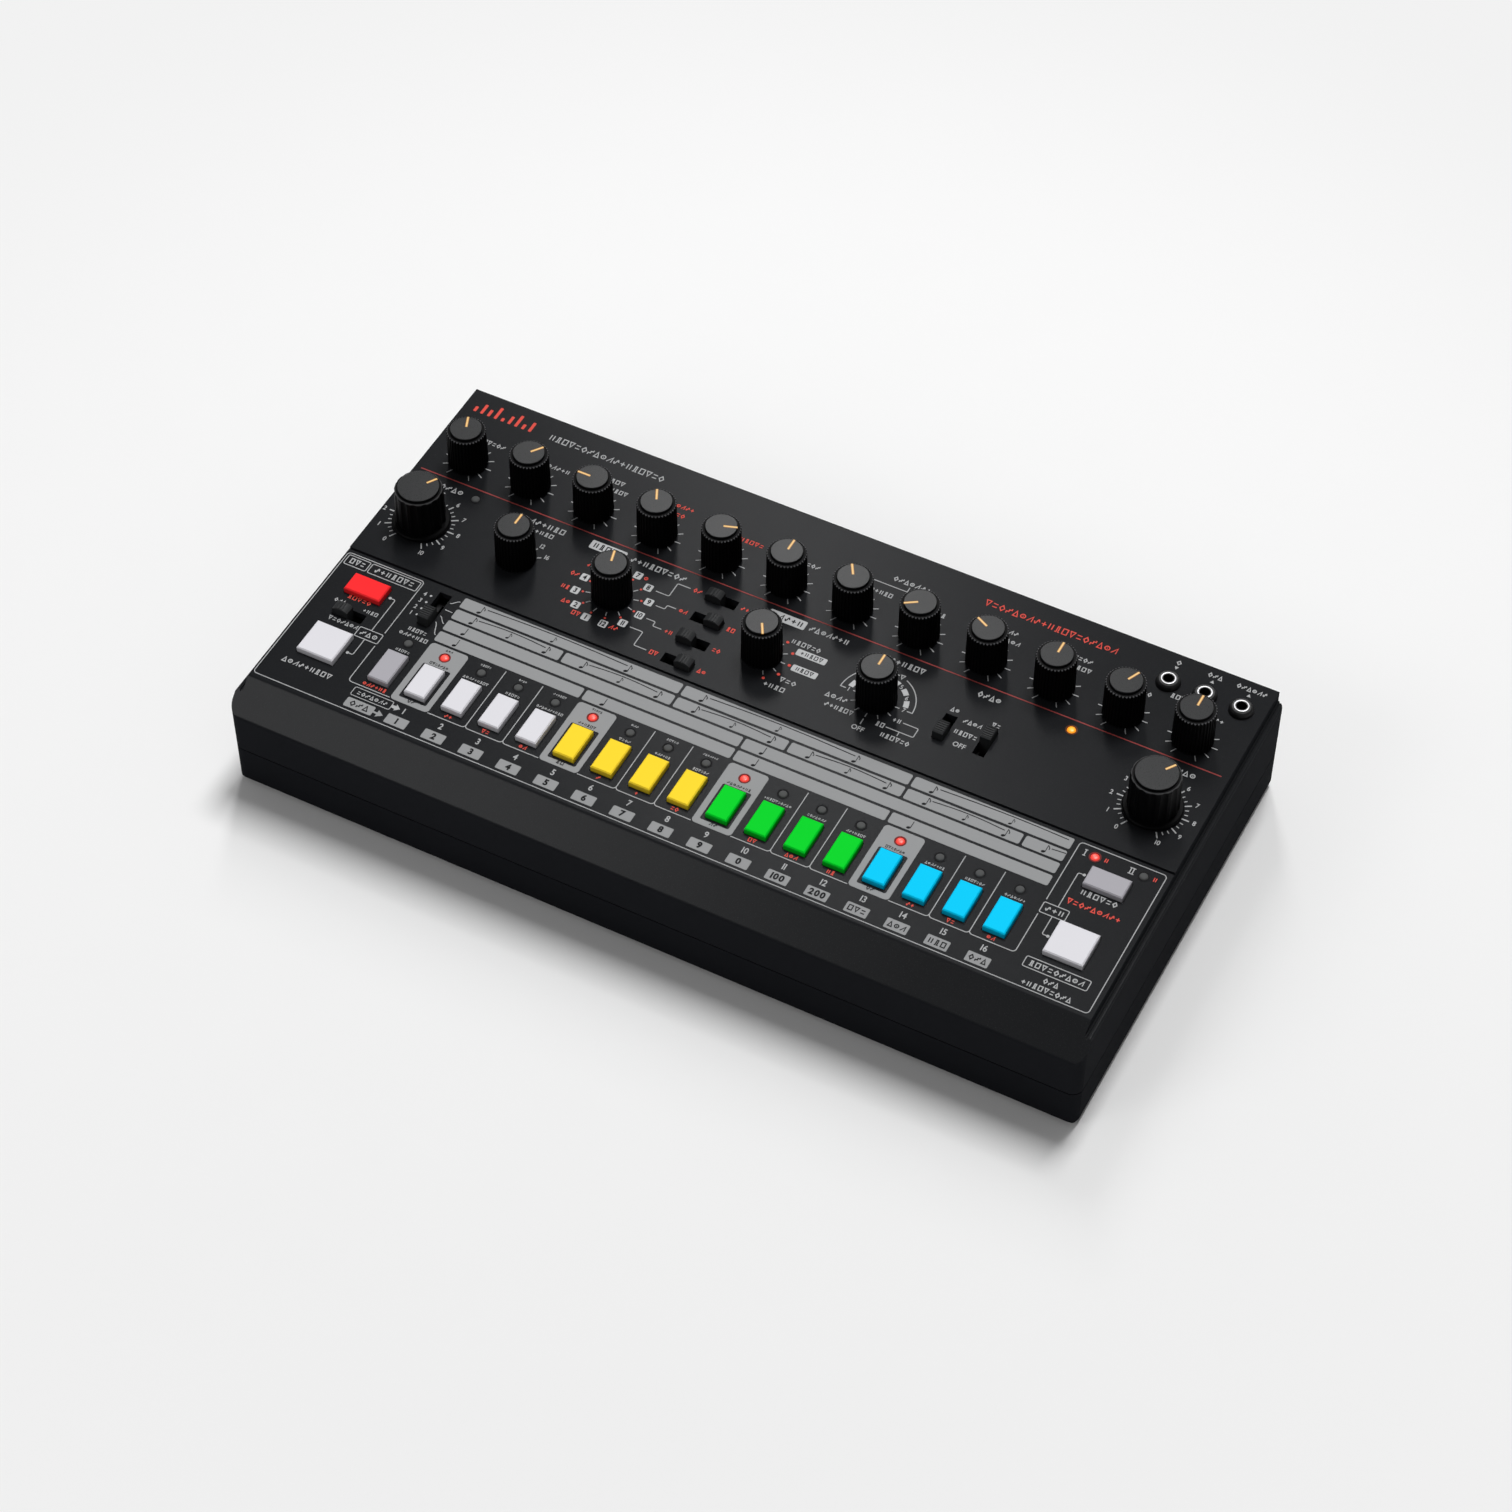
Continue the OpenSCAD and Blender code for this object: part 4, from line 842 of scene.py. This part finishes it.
def draw_titles():
    """The red title place, the subtitle places and the line under the level knobs."""
    DIM.line([(-147.5, 36.26), (147.3, 36.26)], 0.0, 0.42)
    for n, rise in enumerate((2.4, 4.6, 3.2, 5.6, 1.6, 3.8, 5.6, 2.4, 4.6)):
        x = -145.2 + 2.7 * n
        RED.patch(x - 0.55, x + 0.55, BAR_FOOT, BAR_FOOT + rise, 0.3)
    GREY.signs(-116.2, -71.4, TITLE_Y, 2.7, 2, TITLE_PEN)
    RED.signs(48.6, 96.6, TITLE_Y, 2.8, 5, TITLE_PEN)


def draw_sockets():
    """Name places and direction marks of the three sockets at the rear."""
    for x, reach, way in ((116.2, 1.3, -1), (129.0, 2.7, 1), (141.8, 5.4, 1)):
        GREY.about(x, reach, 74.2, 2, 3)
        foot = 71.7 - 0.65 * way
        GREY.fill([(x - 0.7, foot), (x + 0.7, foot), (x, 71.7 + 0.65 * way)])
    GREY.signs(119.1, 126.3, 60.4, 2, 7)


def draw_big_scales():
    """The 0 to 10 scales of the two large knobs."""
    for name in BIG_KNOBS:
        centre = mid(name).xy
        for a in FULL_SCALE:
            draw_ticks(centre, (a,), 9.9, 12.4, 0.45)
            if a < 150:
                draw_ticks(centre, (a + 10, a + 20), 10.2, 11.4, 0.32)
        draw_figures(centre, range(11), FULL_SCALE, 14.2, 1.9)
    GREY.rows((-137.6, -128.6, NAME_Y, 2.3, 3), (126.6, 140.3, NAME_Y, 2.3, 5))


def draw_measure():
    centre = mid("measure_knob").xy
    angles = range(-60, 61, 30)
    draw_ticks(centre, angles, 7.0, 8.4)
    draw_figures(centre, (2, 4, 8, 12, 16), angles, 10.3, 1.9)
    GREY.rows((-107.6, -89.0, NAME_Y, 2.4, 1), (-104.4, -91.6, 28.7, 1.9, 6))


def draw_track():
    """Twelve numbered boxes round the track knob, and the lines to the voice switches."""
    centre = mid("track_knob").xy
    for n in range(12):
        a = -165 + 30 * n
        draw_ticks(centre, (a,), 7.3, 9.0)
        RED.dot(turned(centre, 9.95, a), 0.4)
        x, y = turned(centre, 12.5, a)
        PALE.patch(x - 1.45, x + 1.45, y - 1.5, y + 1.5, 0.45)
        BLACK.figures(str(n + 1), x, y, 2.0, 0.9, 0.035)
        if n < 6:
            RED.signs(x - 5.4, x - 2.1, y, 1.9, n)
        elif n in (6, 11):
            RED.signs(x + 2.1, x + (3.9 if n == 6 else 5.6), y, 1.9, n)
    lines = [(-49.8, -44.9, 23.3), (-46.75, -43.4, 17.6), (-46.75, -43.4, 11.2), (-49.8, -44.9, 5.4)]
    for n, (start, bend, from_y) in enumerate(lines, 1):
        y = mid(f"voice_lever_{n}").y
        GREY.line([(start, from_y), (bend, from_y), (bend, y), (-40.15, y)], 0.5)
        for x in (-37.5, -19.8):
            RED.about(x, 1.6, y, 1.9, n * 3 + (x > -30))
    PALE.patch(-79.3, -65.9, 30.3, 34.1, 0.5, 0.25)
    BLACK.signs(-78.4, -66.9, NAME_Y, 2.5, 2)
    GREY.signs(-64.2, -43.2, NAME_Y, 2.5, 4)


def draw_mode():
    centre = mid("mode_knob").xy
    for a in range(30, 151, 30):
        draw_ticks(centre, (a,), 6.9, 8.5)
        RED.dot(turned(centre, 10.05, a), 0.55)
        PALE.dot(turned(centre, 10.05, a), 0.2)
    PALE.patch(-12.3, 1.26, 30.3, 34.1, 0.5)
    BLACK.signs(-11.4, 0.4, NAME_Y, 2.5, 6)
    for x0, x1, y in ((3.6, 14.4, 21.15), (5.3, 14.4, 14.4)):
        PALE.patch(x0, x1, y - 1.4, y + 1.4, 0.5)
        BLACK.signs(x0 + 1.2, x1 - 1.2, y, 1.8, round(y))
    GREY.rows((2.6, 17.2, NAME_Y, 2.4, 8), (-0.1, 10.7, 24.6, 2, 2), (3.9, 10.2, 8.1, 2, 5),
              (0.0, 8.0, 4.1, 2, 9))


def draw_fill():
    """The seven fill places under their arc, and the five other places of the fill knob."""
    centre = mid("fill_knob").xy
    for start, end in ((-90, 10), (24, 90)):
        GREY.line(arc(centre, 12.9, start, end), 0, TICK)
    draw_ticks(centre, (-90, 90), 11.0, 13.05)
    draw_figures(centre, range(1, 8), range(-90, 91, 30), 9.9, 1.8)
    for a in range(-75, 76, 30):
        inner, outer = (arc(centre, radius, a - 8, a + 8, 4) for radius in (9.0, 10.8))
        PALE.fill(inner + outer[::-1])
    draw_ticks(centre, range(90, 271, 30), 6.6, 8.3)
    draw_ticks(centre, (180,), 9.2, 11.7)
    GREY.figures("OFF", centre.x + 0.1, 1.05, 2.0, 0.9)
    GREY.line([(47.9, 9.6), (53.4, 9.6), (53.4, 5.6), (43.7, 5.6)], 0.5)
    GREY.line([(48.5, 5.6), (48.5, 3.85)])
    GREY.rows((19.9, 28.0, 9.5, 2, 1), (21.5, 32.0, 5.6, 2, 4), (39.9, 43.2, 5.7, 2, 7),
              (44.1, 47.3, 9.6, 2, 9), (43.2, 53.8, 2.2, 2, 2), (38.0, 40.4, 27.0, 1.9, 5),
              (27.6, 44.9, NAME_Y, 2.4, 6))


def draw_fade():
    GREY.signs(63.6, 72.1, NAME_Y, 2.5, 3)
    for name, first in (("fade_in_lever", 1), ("fade_out_lever", 5)):
        GREY.about(mid(name).x, 1.6, 22.3, 2.0, first)
    GREY.rows((64.5, 71.2, 19.6, 2, 8), (63.6, 71.9, 14.4, 2, 2))
    GREY.figures("OFF", 67.9, 9.5, 2.0, 0.9)


def draw_upper():
    Ink.panel_z = UPPER_Z
    draw_titles()
    draw_levels()
    draw_sockets()
    draw_big_scales()
    draw_measure()
    draw_track()
    draw_mode()
    draw_fill()
    draw_fade()


# ---- Knobs, lamps and sockets

HALF_TURN = {"measure_knob": 60, "track_knob": 165}
POINTER_DEEP = 0.27
STRIPS = [(-0.42, -0.24, 1, 0.03), (-0.24, 0.24, 0, 0.005), (0.24, 0.42, 1, 0.03)]
REAR_BUSH_OUT = 1.5
RIM_DEEP = 1.4


def rest_angle(node):
    """Where the pointer stands at rest, clockwise from the rear."""
    joint = next(j for j in frame["joints"] if j["child"] == node)
    return joint["range_deg"][0] + HALF_TURN.get(node, 150)


def pointer(node, start, end, materials):
    """The inlaid pointer: a pale strip between two amber ones, let into the knob's top."""
    centre, top = mid(node), high(node).z
    verts, faces, marks = [], [], []
    for left, right, mark, sunk in STRIPS:
        base = len(verts)
        outline = rounded([(left, start), (right, start), (right, end), (left, end)], 0.06, True, 2)
        count = len(outline)
        for z in (top - POINTER_DEEP, top - sunk):
            verts += [(x, y, z) for x, y in outline]
        foot = list(range(base, base + count))
        faces += [foot[::-1], [v + count for v in foot]] + sides(base, count, count)
        marks += [mark] * (count + 2)
    turn = Matrix.Rotation(-radians(rest_angle(node)), 3, "Z")
    verts = [turn @ Vector(v) + Vector((centre.x, centre.y, 0)) for v in verts]
    shaped(f"{node}_pointer", verts, faces, materials, node, "key_yellow", marks)


def make_pointers():
    materials = [moulded(f"pointer_{name}", rgb, 0.4, 0.4, 0.2, 0.05, 0.05)
                 for name, rgb in (("pale", (236, 196, 122)), ("amber", (198, 130, 26)))]
    for node in LEVEL_KNOBS + SELECTORS:
        pointer(node, 0.75, 5.45, materials)
    for node in BIG_KNOBS:
        pointer(node, 3.15, 7.0, materials)


def spots(node, keep=None, reach=6.0):
    """Centres, seen from above, of the separate groups of a node's points that pass a test."""
    groups = []
    for vertex in frame["nodes"][node].data.vertices:
        p = vertex.co / MM
        if keep and not keep(p):
            continue
        near = next((g for g in groups if abs(g[0] - p.x) < reach and abs(g[1] - p.y) < reach), None)
        if near is None:
            groups.append([p.x, p.y, p.x, p.x, p.y, p.y])
        else:
            near[2:] = [min(near[2], p.x), max(near[3], p.x), min(near[4], p.y), max(near[5], p.y)]
    return [((g[2] + g[3]) / 2, (g[4] + g[5]) / 2) for g in groups]


def lens(x, y, panel_z, floor_z):
    """A round lamp: its foot flange, its barrel and its domed nose."""
    profile = [(0, floor_z), (1.75, floor_z), (1.75, floor_z + 0.8), (1.48, floor_z + 0.9)]
    nose = [(1.48, -0.35), (1.44, 0.0), (1.36, 0.16), (1.2, 0.3), (0.85, 0.42), (0.45, 0.48), (0, 0.5)]
    profile += [(radius, panel_z + rise) for radius, rise in nose]
    return lathe(profile, (x, y, 0), 28)


def make_lamps():
    """The lamps as they stand in the picture: four step lamps, one bank lamp and the power lamp are lit."""
    floor_z = low("lamps").z
    places = spots("lamps")
    bank_x = min(x for x, y in places if x > STEP_X[-1] + 8)
    red, amber, plain = (RED_PAINTED_GLOW, []), (AMBER_PAINTED_GLOW, []), (BLACK, [])
    for x, y in places:
        upper = y > FRAME_REAR + 5
        Ink.panel_z = UPPER_Z if upper else LOWER_Z
        first_of_four = any(abs(x - STEP_X[i]) < 1 for i in range(0, 16, 4)) and abs(y - LAMP_Y) < 2
        lit_red = not upper and (first_of_four or abs(x - bank_x) < 1)
        ring_ink, group = red if lit_red else amber if upper and x > 0 else plain
        # Round a lit lamp this ring is painted glow in the lamp's colour; round an unlit one it is black ink.
        ring_ink.fill(*ring((x, y), 2.02, 1.55))
        group.append(lens(x, y, Ink.panel_z, floor_z))
    sets = (
        ("lamps_unlit", plain, moulded("lens_unlit", (82, 83, 83), 0.7, 0.08, 0.4, 0.05, 0.1)),
        ("lamps_red_lit", red, glowing("lens_red_lit", (228, 60, 50), (250, 98, 86), 0.9, LOWER_Z)),
        ("lamp_amber_lit", amber, glowing("lens_amber_lit", (250, 146, 20), (255, 196, 70), 1.0, UPPER_Z)),
    )
    for name, (_, parts), material in sets:
        piece = shaped(name, *joined(parts), [material], "body", "lamp_lens", smooth=True)
        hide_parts("lamps")


def bright_rim(inner, outer):
    """The turned profile of a metal rim: down a bore, over its lip, and into what holds it."""
    return [(inner, -RIM_DEEP), (inner, -0.25), (inner + 0.14, -0.02), (inner + 0.34, 0.06),
            (outer - 0.27, 0.05), (outer - 0.04, -0.1), (outer, -0.5), (outer, -RIM_DEEP), (inner, -RIM_DEEP)]


def make_rims():
    """Bright rims in the mouths of the round sockets, on the panel and on the rear wall."""
    panel, rear = [], []
    for bore in BORES:
        x, y, z = (Vector(bore["pos_m"]) / MM).to_tuple()
        inner = bore["dims"]["r_mm"] + 0.06
        outer = inner + (0.86 if inner < 2.5 else 1.4)
        if bore["axis"][2] > 0.5:
            panel.append(lathe(bright_rim(inner, outer), (x, y, high("mini_jacks").z), 40))
        else:
            rear.append(lathe(bright_rim(inner, outer), (x, REAR_WALL + REAR_BUSH_OUT, z), 40, "Y"))
    metal = plated("socket_rim_metal")
    for name, parts in (("panel_socket_rims", panel), ("rear_socket_rims", rear)):
        shaped(name, *joined(parts), [metal], "body", "screw_steel", smooth=True)


# ---- The rear wall and the underside

REAR_SIGN = 2.2
SCREW_RIM = 2.62
SCREW_FLAT = 2.1
SCREW_FOOT = UNDERSIDE + 0.1


def draw_rear():
    """Numbers and plain signs over the sockets, and the two marks of the power rocker."""
    voices = [m for m in BORES if m["name"].startswith("voice_out")]
    row_z = voices[0]["pos_m"][2] / MM
    xs = [-m["pos_m"][0] / MM for m in voices]
    for i, x in enumerate(xs):
        REAR.figures(str(i + 1), x, row_z + 7.4, 2.2)
    left, right, top = min(xs) - 4, max(xs) + 4, row_z + 10.6
    REAR.line([(left, top - 1.4), (left, top), (right, top), (right, top - 1.4)], 0.5)
    REAR.about((min(xs) + max(xs)) / 2, 12, top + 2.6, 2.4, 2)
    for n, bore in enumerate(m for m in BORES if m["name"].startswith("output_jack")):
        REAR.about(-bore["pos_m"][0] / MM, 3.4, OUTPUT_Z + 10.4, REAR_SIGN, 3 * n)
    for n, x in enumerate(FIVE_PIN_X):
        REAR.about(-x, 4.5, FIVE_PIN_Z + 11.2, REAR_SIGN, 4 * n + 1)
    REAR.about(-USB_X, 2.6, SMALL_AXIS_Z + 8.4, REAR_SIGN, 7)
    REAR.about(-INLET_X, 3.4, SMALL_AXIS_Z + 8.4, REAR_SIGN, 9)
    REAR.about(-ROCKER_AXLE.x, 4.5, ROCKER_AXLE.z + 10.6, REAR_SIGN, 6)
    ON_ROCKER.line([(0, 1.9), (0, 4.1)], 0.0, 0.4)
    ON_ROCKER.fill(*ring((0, -3.0), 1.2, 0.82))


def tube(outer, inner, start, end):
    """A square tube at the USB socket, along Y. Both outlines are half widths, half heights and radii."""
    outer, inner = (block(-half_x, half_x, -half_z, half_z, r) for half_x, half_z, r in (outer, inner))
    count = len(outer)
    loops = outer + inner
    verts = [(USB_X + px, REAR_WALL + y, SMALL_AXIS_Z + pz) for y in (start, end) for px, pz in loops]
    faces = []
    for i in range(count):
        j = (i + 1) % count
        for a, b, p, q in ((0, 2, i, j), (1, 3, j, i), (2, 3, i, j), (0, 1, j, i)):
            faces.append([a * count + p, a * count + q, b * count + q, b * count + p])
    return verts, faces


def make_rear_metal():
    """The shells of the five-pin and USB sockets and the power inlet's pin."""
    shell = [(6.72, -4.1), (6.72, 0.26), (6.86, 0.34), (7.04, 0.26), (7.04, -4.1), (6.72, -4.1)]
    pin = [(0, -8.9), (1.06, -8.9), (1.06, -1.3), (0.8, -0.96), (0, -0.9)]
    parts = [lathe(shell, (x, REAR_WALL, FIVE_PIN_Z), 56, "Y") for x in FIVE_PIN_X]
    parts.append(tube((4.24, 3.88, 0.7), (3.84, 3.48, 0.5), -8.4, 0.36))
    parts.append(lathe(pin, (INLET_X, REAR_WALL, SMALL_AXIS_Z), 24, "Y"))
    steel = plated("socket_shell_metal", (168, 169, 172))
    shaped("rear_socket_shells", *joined(parts), [steel], "body", "screw_steel")
    tongue = moulded("usb_tongue_plastic", (196, 194, 188), 0.45, 0.4, 0.3, 0.1, 0.05)
    core = tube((2.8, 1.6, 0.35), (1.9, 0.22, 0.1), -8.55, -1.6)
    shaped("usb_tongue", *core, [tongue], "body", "socket_black")


def cross(reach, half):
    """The outline of a cross recess."""
    outline = [(-half, -reach), (half, -reach), (half, -half)]
    for n in range(9):
        x, y = outline[n]
        outline.append((-y, x))
    return outline


def make_screw_heads():
    """Low domed faces with a cross recess, over the heads of the screws in the underside."""
    parts = []
    for x, y in spots("screws", lambda p: p.z < SCREW_FOOT):
        rim, flat = circle((x, y), SCREW_RIM, 36), circle((x, y), SCREW_FLAT, 36)
        slot = [(x + px, y + py) for px, py in cross(1.35, 0.3)]
        rings = ((rim, 0.1), (rim, -0.1), (flat + slot, -0.42), (slot, 0.1))
        verts = [(px, py, UNDERSIDE + rise) for ring, rise in rings for px, py in ring]
        n, m = len(rim), len(slot)
        faces = sides(0, n, n) + sides(n, n, n)
        faces += [[2 * n + v for v in face] for face in filled([flat, slot])]
        parts.append((verts, faces + sides(3 * n, m, m)))
    metal = moulded("screw_black_metal", (58, 58, 60), 0.4, 0.5, 0.2, 0.1, 0.08, 0.85)
    shaped("underside_screw_faces", *joined(parts), [metal], "body", "screw_steel")


# ---- Finishes of the carried-over solids

KEY_FINISH = (0.5, 0.03, 0.2, 0.06, 0.02)


def dress(material, *nodes):
    for node in nodes:
        data = frame["nodes"][node].data
        data.materials.clear()
        data.materials.append(material)


def dress_solids():
    dress(coated("case_plastic", (29, 30, 32), (30, 31, 34), 0.24, 0.75, 0.045, 0.15, 0.01), "top_case")
    keys = (
        ("white", (221, 220, 225), STEP_KEYS[:4] + ["start_key", "write_key"]),
        ("yellow", (252, 218, 50), STEP_KEYS[4:8]),
        ("green", (0, 212, 42), STEP_KEYS[8:12]),
        ("cyan", (0, 204, 249), STEP_KEYS[12:]),
        ("grey", (170, 168, 174), ["shift_key", "bank_key"]),
        ("red", (252, 46, 50), ["clear_key"]),
    )
    for tone, rgb, nodes in keys:
        dress(moulded(f"key_{tone}_plastic", rgb, *KEY_FINISH), *nodes)
    # The last two values place and colour the painted highlight on the knobs' flute tips.
    small = knob_material("knob_small_plastic", high("level_knob_01").z, 0.915, (88, 88, 90))
    large = knob_material("knob_large_plastic", high("tempo_knob").z, 0.775, (60, 60, 61))
    dress(small, *LEVEL_KNOBS, *SELECTORS)
    dress(large, *BIG_KNOBS)
    # Nodes, then the material's name, colour, roughness, specular, grain, bump, drift and metal
    others = (
        (["bottom_case"], "tray_plastic", (27, 28, 31), 0.75, 0.01, 0.4, 0.3, 0.1),
        (LEVERS, "lever_plastic", (40, 41, 42), 0.5, 0.14, 0.2, 0.15),
        (["power_rocker"], "rocker_plastic", (18, 18, 19), 0.35, 0.5, 0.2, 0.08),
        (["mini_jacks"], "socket_plastic", (16, 16, 17), 0.4, 0.4, 0.25, 0.12),
        (["rear_sockets"], "rear_socket_plastic", (20, 20, 21), 0.42, 0.45, 0.25, 0.12),
        (["rubber_feet"], "foot_rubber_mat", (20, 20, 20), 0.85, 0.2, 0.5, 0.4),
        (["screws"], "screw_metal", (60, 60, 62), 0.35, 0.5, 0.2, 0.1, 0.05, 0.9),
        (["control_board", "main_board"], "board_laminate", (18, 74, 42), 0.45, 0.4, 0.6, 0.1, 0.12),
        (["pot_bodies"], "pot_metal", (120, 120, 118), 0.4, 0.5, 0.2, 0.1, 0.05, 0.8),
    )
    for nodes, *finish in others:
        dress(moulded(*finish), *nodes)
    for node in ("key_switches", "slide_switch_bodies"):
        dress(moulded(f"{node}_plastic", (24, 24, 26), 0.45, 0.4, 0.25, 0.12), node)


# ---- Camera, light and floor

PICTURE_PX = 1512
FOCAL_PX = 3917.35
SENSOR_WIDTH = 36.0
AZIMUTH = radians(27.5553546)
ELEVATION = radians(50.0057895)
REACH = 1297.867
SIDE = -0.30009752
RISE = 5.73767436
FITTED_Z = 41.0


def make_camera():
    data = bpy.data.cameras.new("camera")
    data.sensor_width = SENSOR_WIDTH
    data.lens = FOCAL_PX * SENSOR_WIDTH / PICTURE_PX
    data.clip_start, data.clip_end = 0.05, 50.0
    camera = put("camera", data)
    az, el = AZIMUTH, ELEVATION
    back = Vector((sin(az) * cos(el), -cos(az) * cos(el), sin(el)))
    side = Vector((0, 0, 1)).cross(back).normalized()
    rise = back.cross(side)
    place = (side * SIDE + rise * RISE + back * REACH) * MM
    place.z += (LOWER_Z - FITTED_Z) * MM
    turn = Matrix((side, rise, back)).transposed().to_4x4()
    camera.matrix_world = Matrix.Translation(place) @ turn
    bpy.context.scene.camera = camera

WORLD_FILL = 0.2
BACKDROP = 0.887
FLOOR_HALF = 3.0


def softbox(name, toward, distance, width, height, power):
    """A rectangular lamp at that distance, turned towards the object, its height leaning back from it."""
    data = bpy.data.lights.new(name, "AREA")
    data.shape = "RECTANGLE"
    data.size, data.size_y = width, height
    data.energy = power
    lamp = put(name, data)
    away = Vector(toward).normalized()
    lamp.location = away * distance
    lamp.rotation_mode = "QUATERNION"
    lamp.rotation_quaternion = away.to_track_quat("Z", "Y")


def make_world():
    world = bpy.data.worlds.new("world")
    bpy.context.scene.world = world
    world.use_nodes = True
    tree = world.node_tree
    tree.nodes.clear()
    ray = add(tree, "LightPath").outputs
    fill, shown = (add(tree, "Background", {"Color": WHITE, "Strength": strength}).outputs[0]
                   for strength in (WORLD_FILL, BACKDROP))
    seen = maths(tree, "MAXIMUM", ray["Is Camera Ray"], ray["Is Transmission Ray"])
    add(tree, "OutputWorld", {0: add(tree, "MixShader", {0: seen, 1: fill, 2: shown}).outputs[0]})


def floor_material():
    """Pale paper round the object, which runs out into an even backdrop where only the picture sees it."""
    mat = moulded("floor_paper", (240, 240, 240), 0.9, 0.0, 3.0, 0.02, 0.005)
    tree, bsdf = shader(mat)
    reach = add(tree, "VectorMath", {0: add(tree, "TexCoord").outputs["Object"]})
    reach.operation = "LENGTH"
    fade = add(tree, "MapRange", {"Value": reach.outputs["Value"], "From Min": 0.2, "From Max": 0.48})
    fade.interpolation_type = "SMOOTHSTEP"
    ray = add(tree, "LightPath").outputs["Is Camera Ray"]
    share = maths(tree, "MULTIPLY", fade.outputs["Result"], ray)
    feed(bsdf, {
        "Base Color": blend(tree, share, source(bsdf, "Base Color"), BLACK_RGBA),
        "Emission Color": (BACKDROP, BACKDROP, BACKDROP, 1.0),
        "Emission Strength": share,
    })
    return mat


def make_floor():
    mesh = bpy.data.meshes.new("floor")
    corners = [(-1, -1), (1, -1), (1, 1), (-1, 1)]
    mesh.from_pydata([(x * FLOOR_HALF, y * FLOOR_HALF, 0) for x, y in corners], [], [(0, 1, 2, 3)])
    mesh.materials.append(floor_material())
    put("floor", mesh)


def light_scene():
    softbox("key_light", (0.04, 0.38, 1.0), 4.0, 0.9, 1.6, 111.0)
    softbox("sheen_light", (-0.44, 0.88, 1.0), 2.44, 0.3, 1.1, 12.5)
    softbox("front_light", (-0.5, -0.75, 0.6), 2.4, 1.0, 0.8, 7.0)


make_camera()
make_world()
light_scene()
make_floor()
bpy.context.scene.view_settings.view_transform = "Standard"
dress_solids()
draw_lower()
draw_upper()
draw_rear()
make_lamps()
for sheet in INKS:
    sheet.made()
make_pointers()
make_rims()
make_rear_metal()
make_screw_heads()
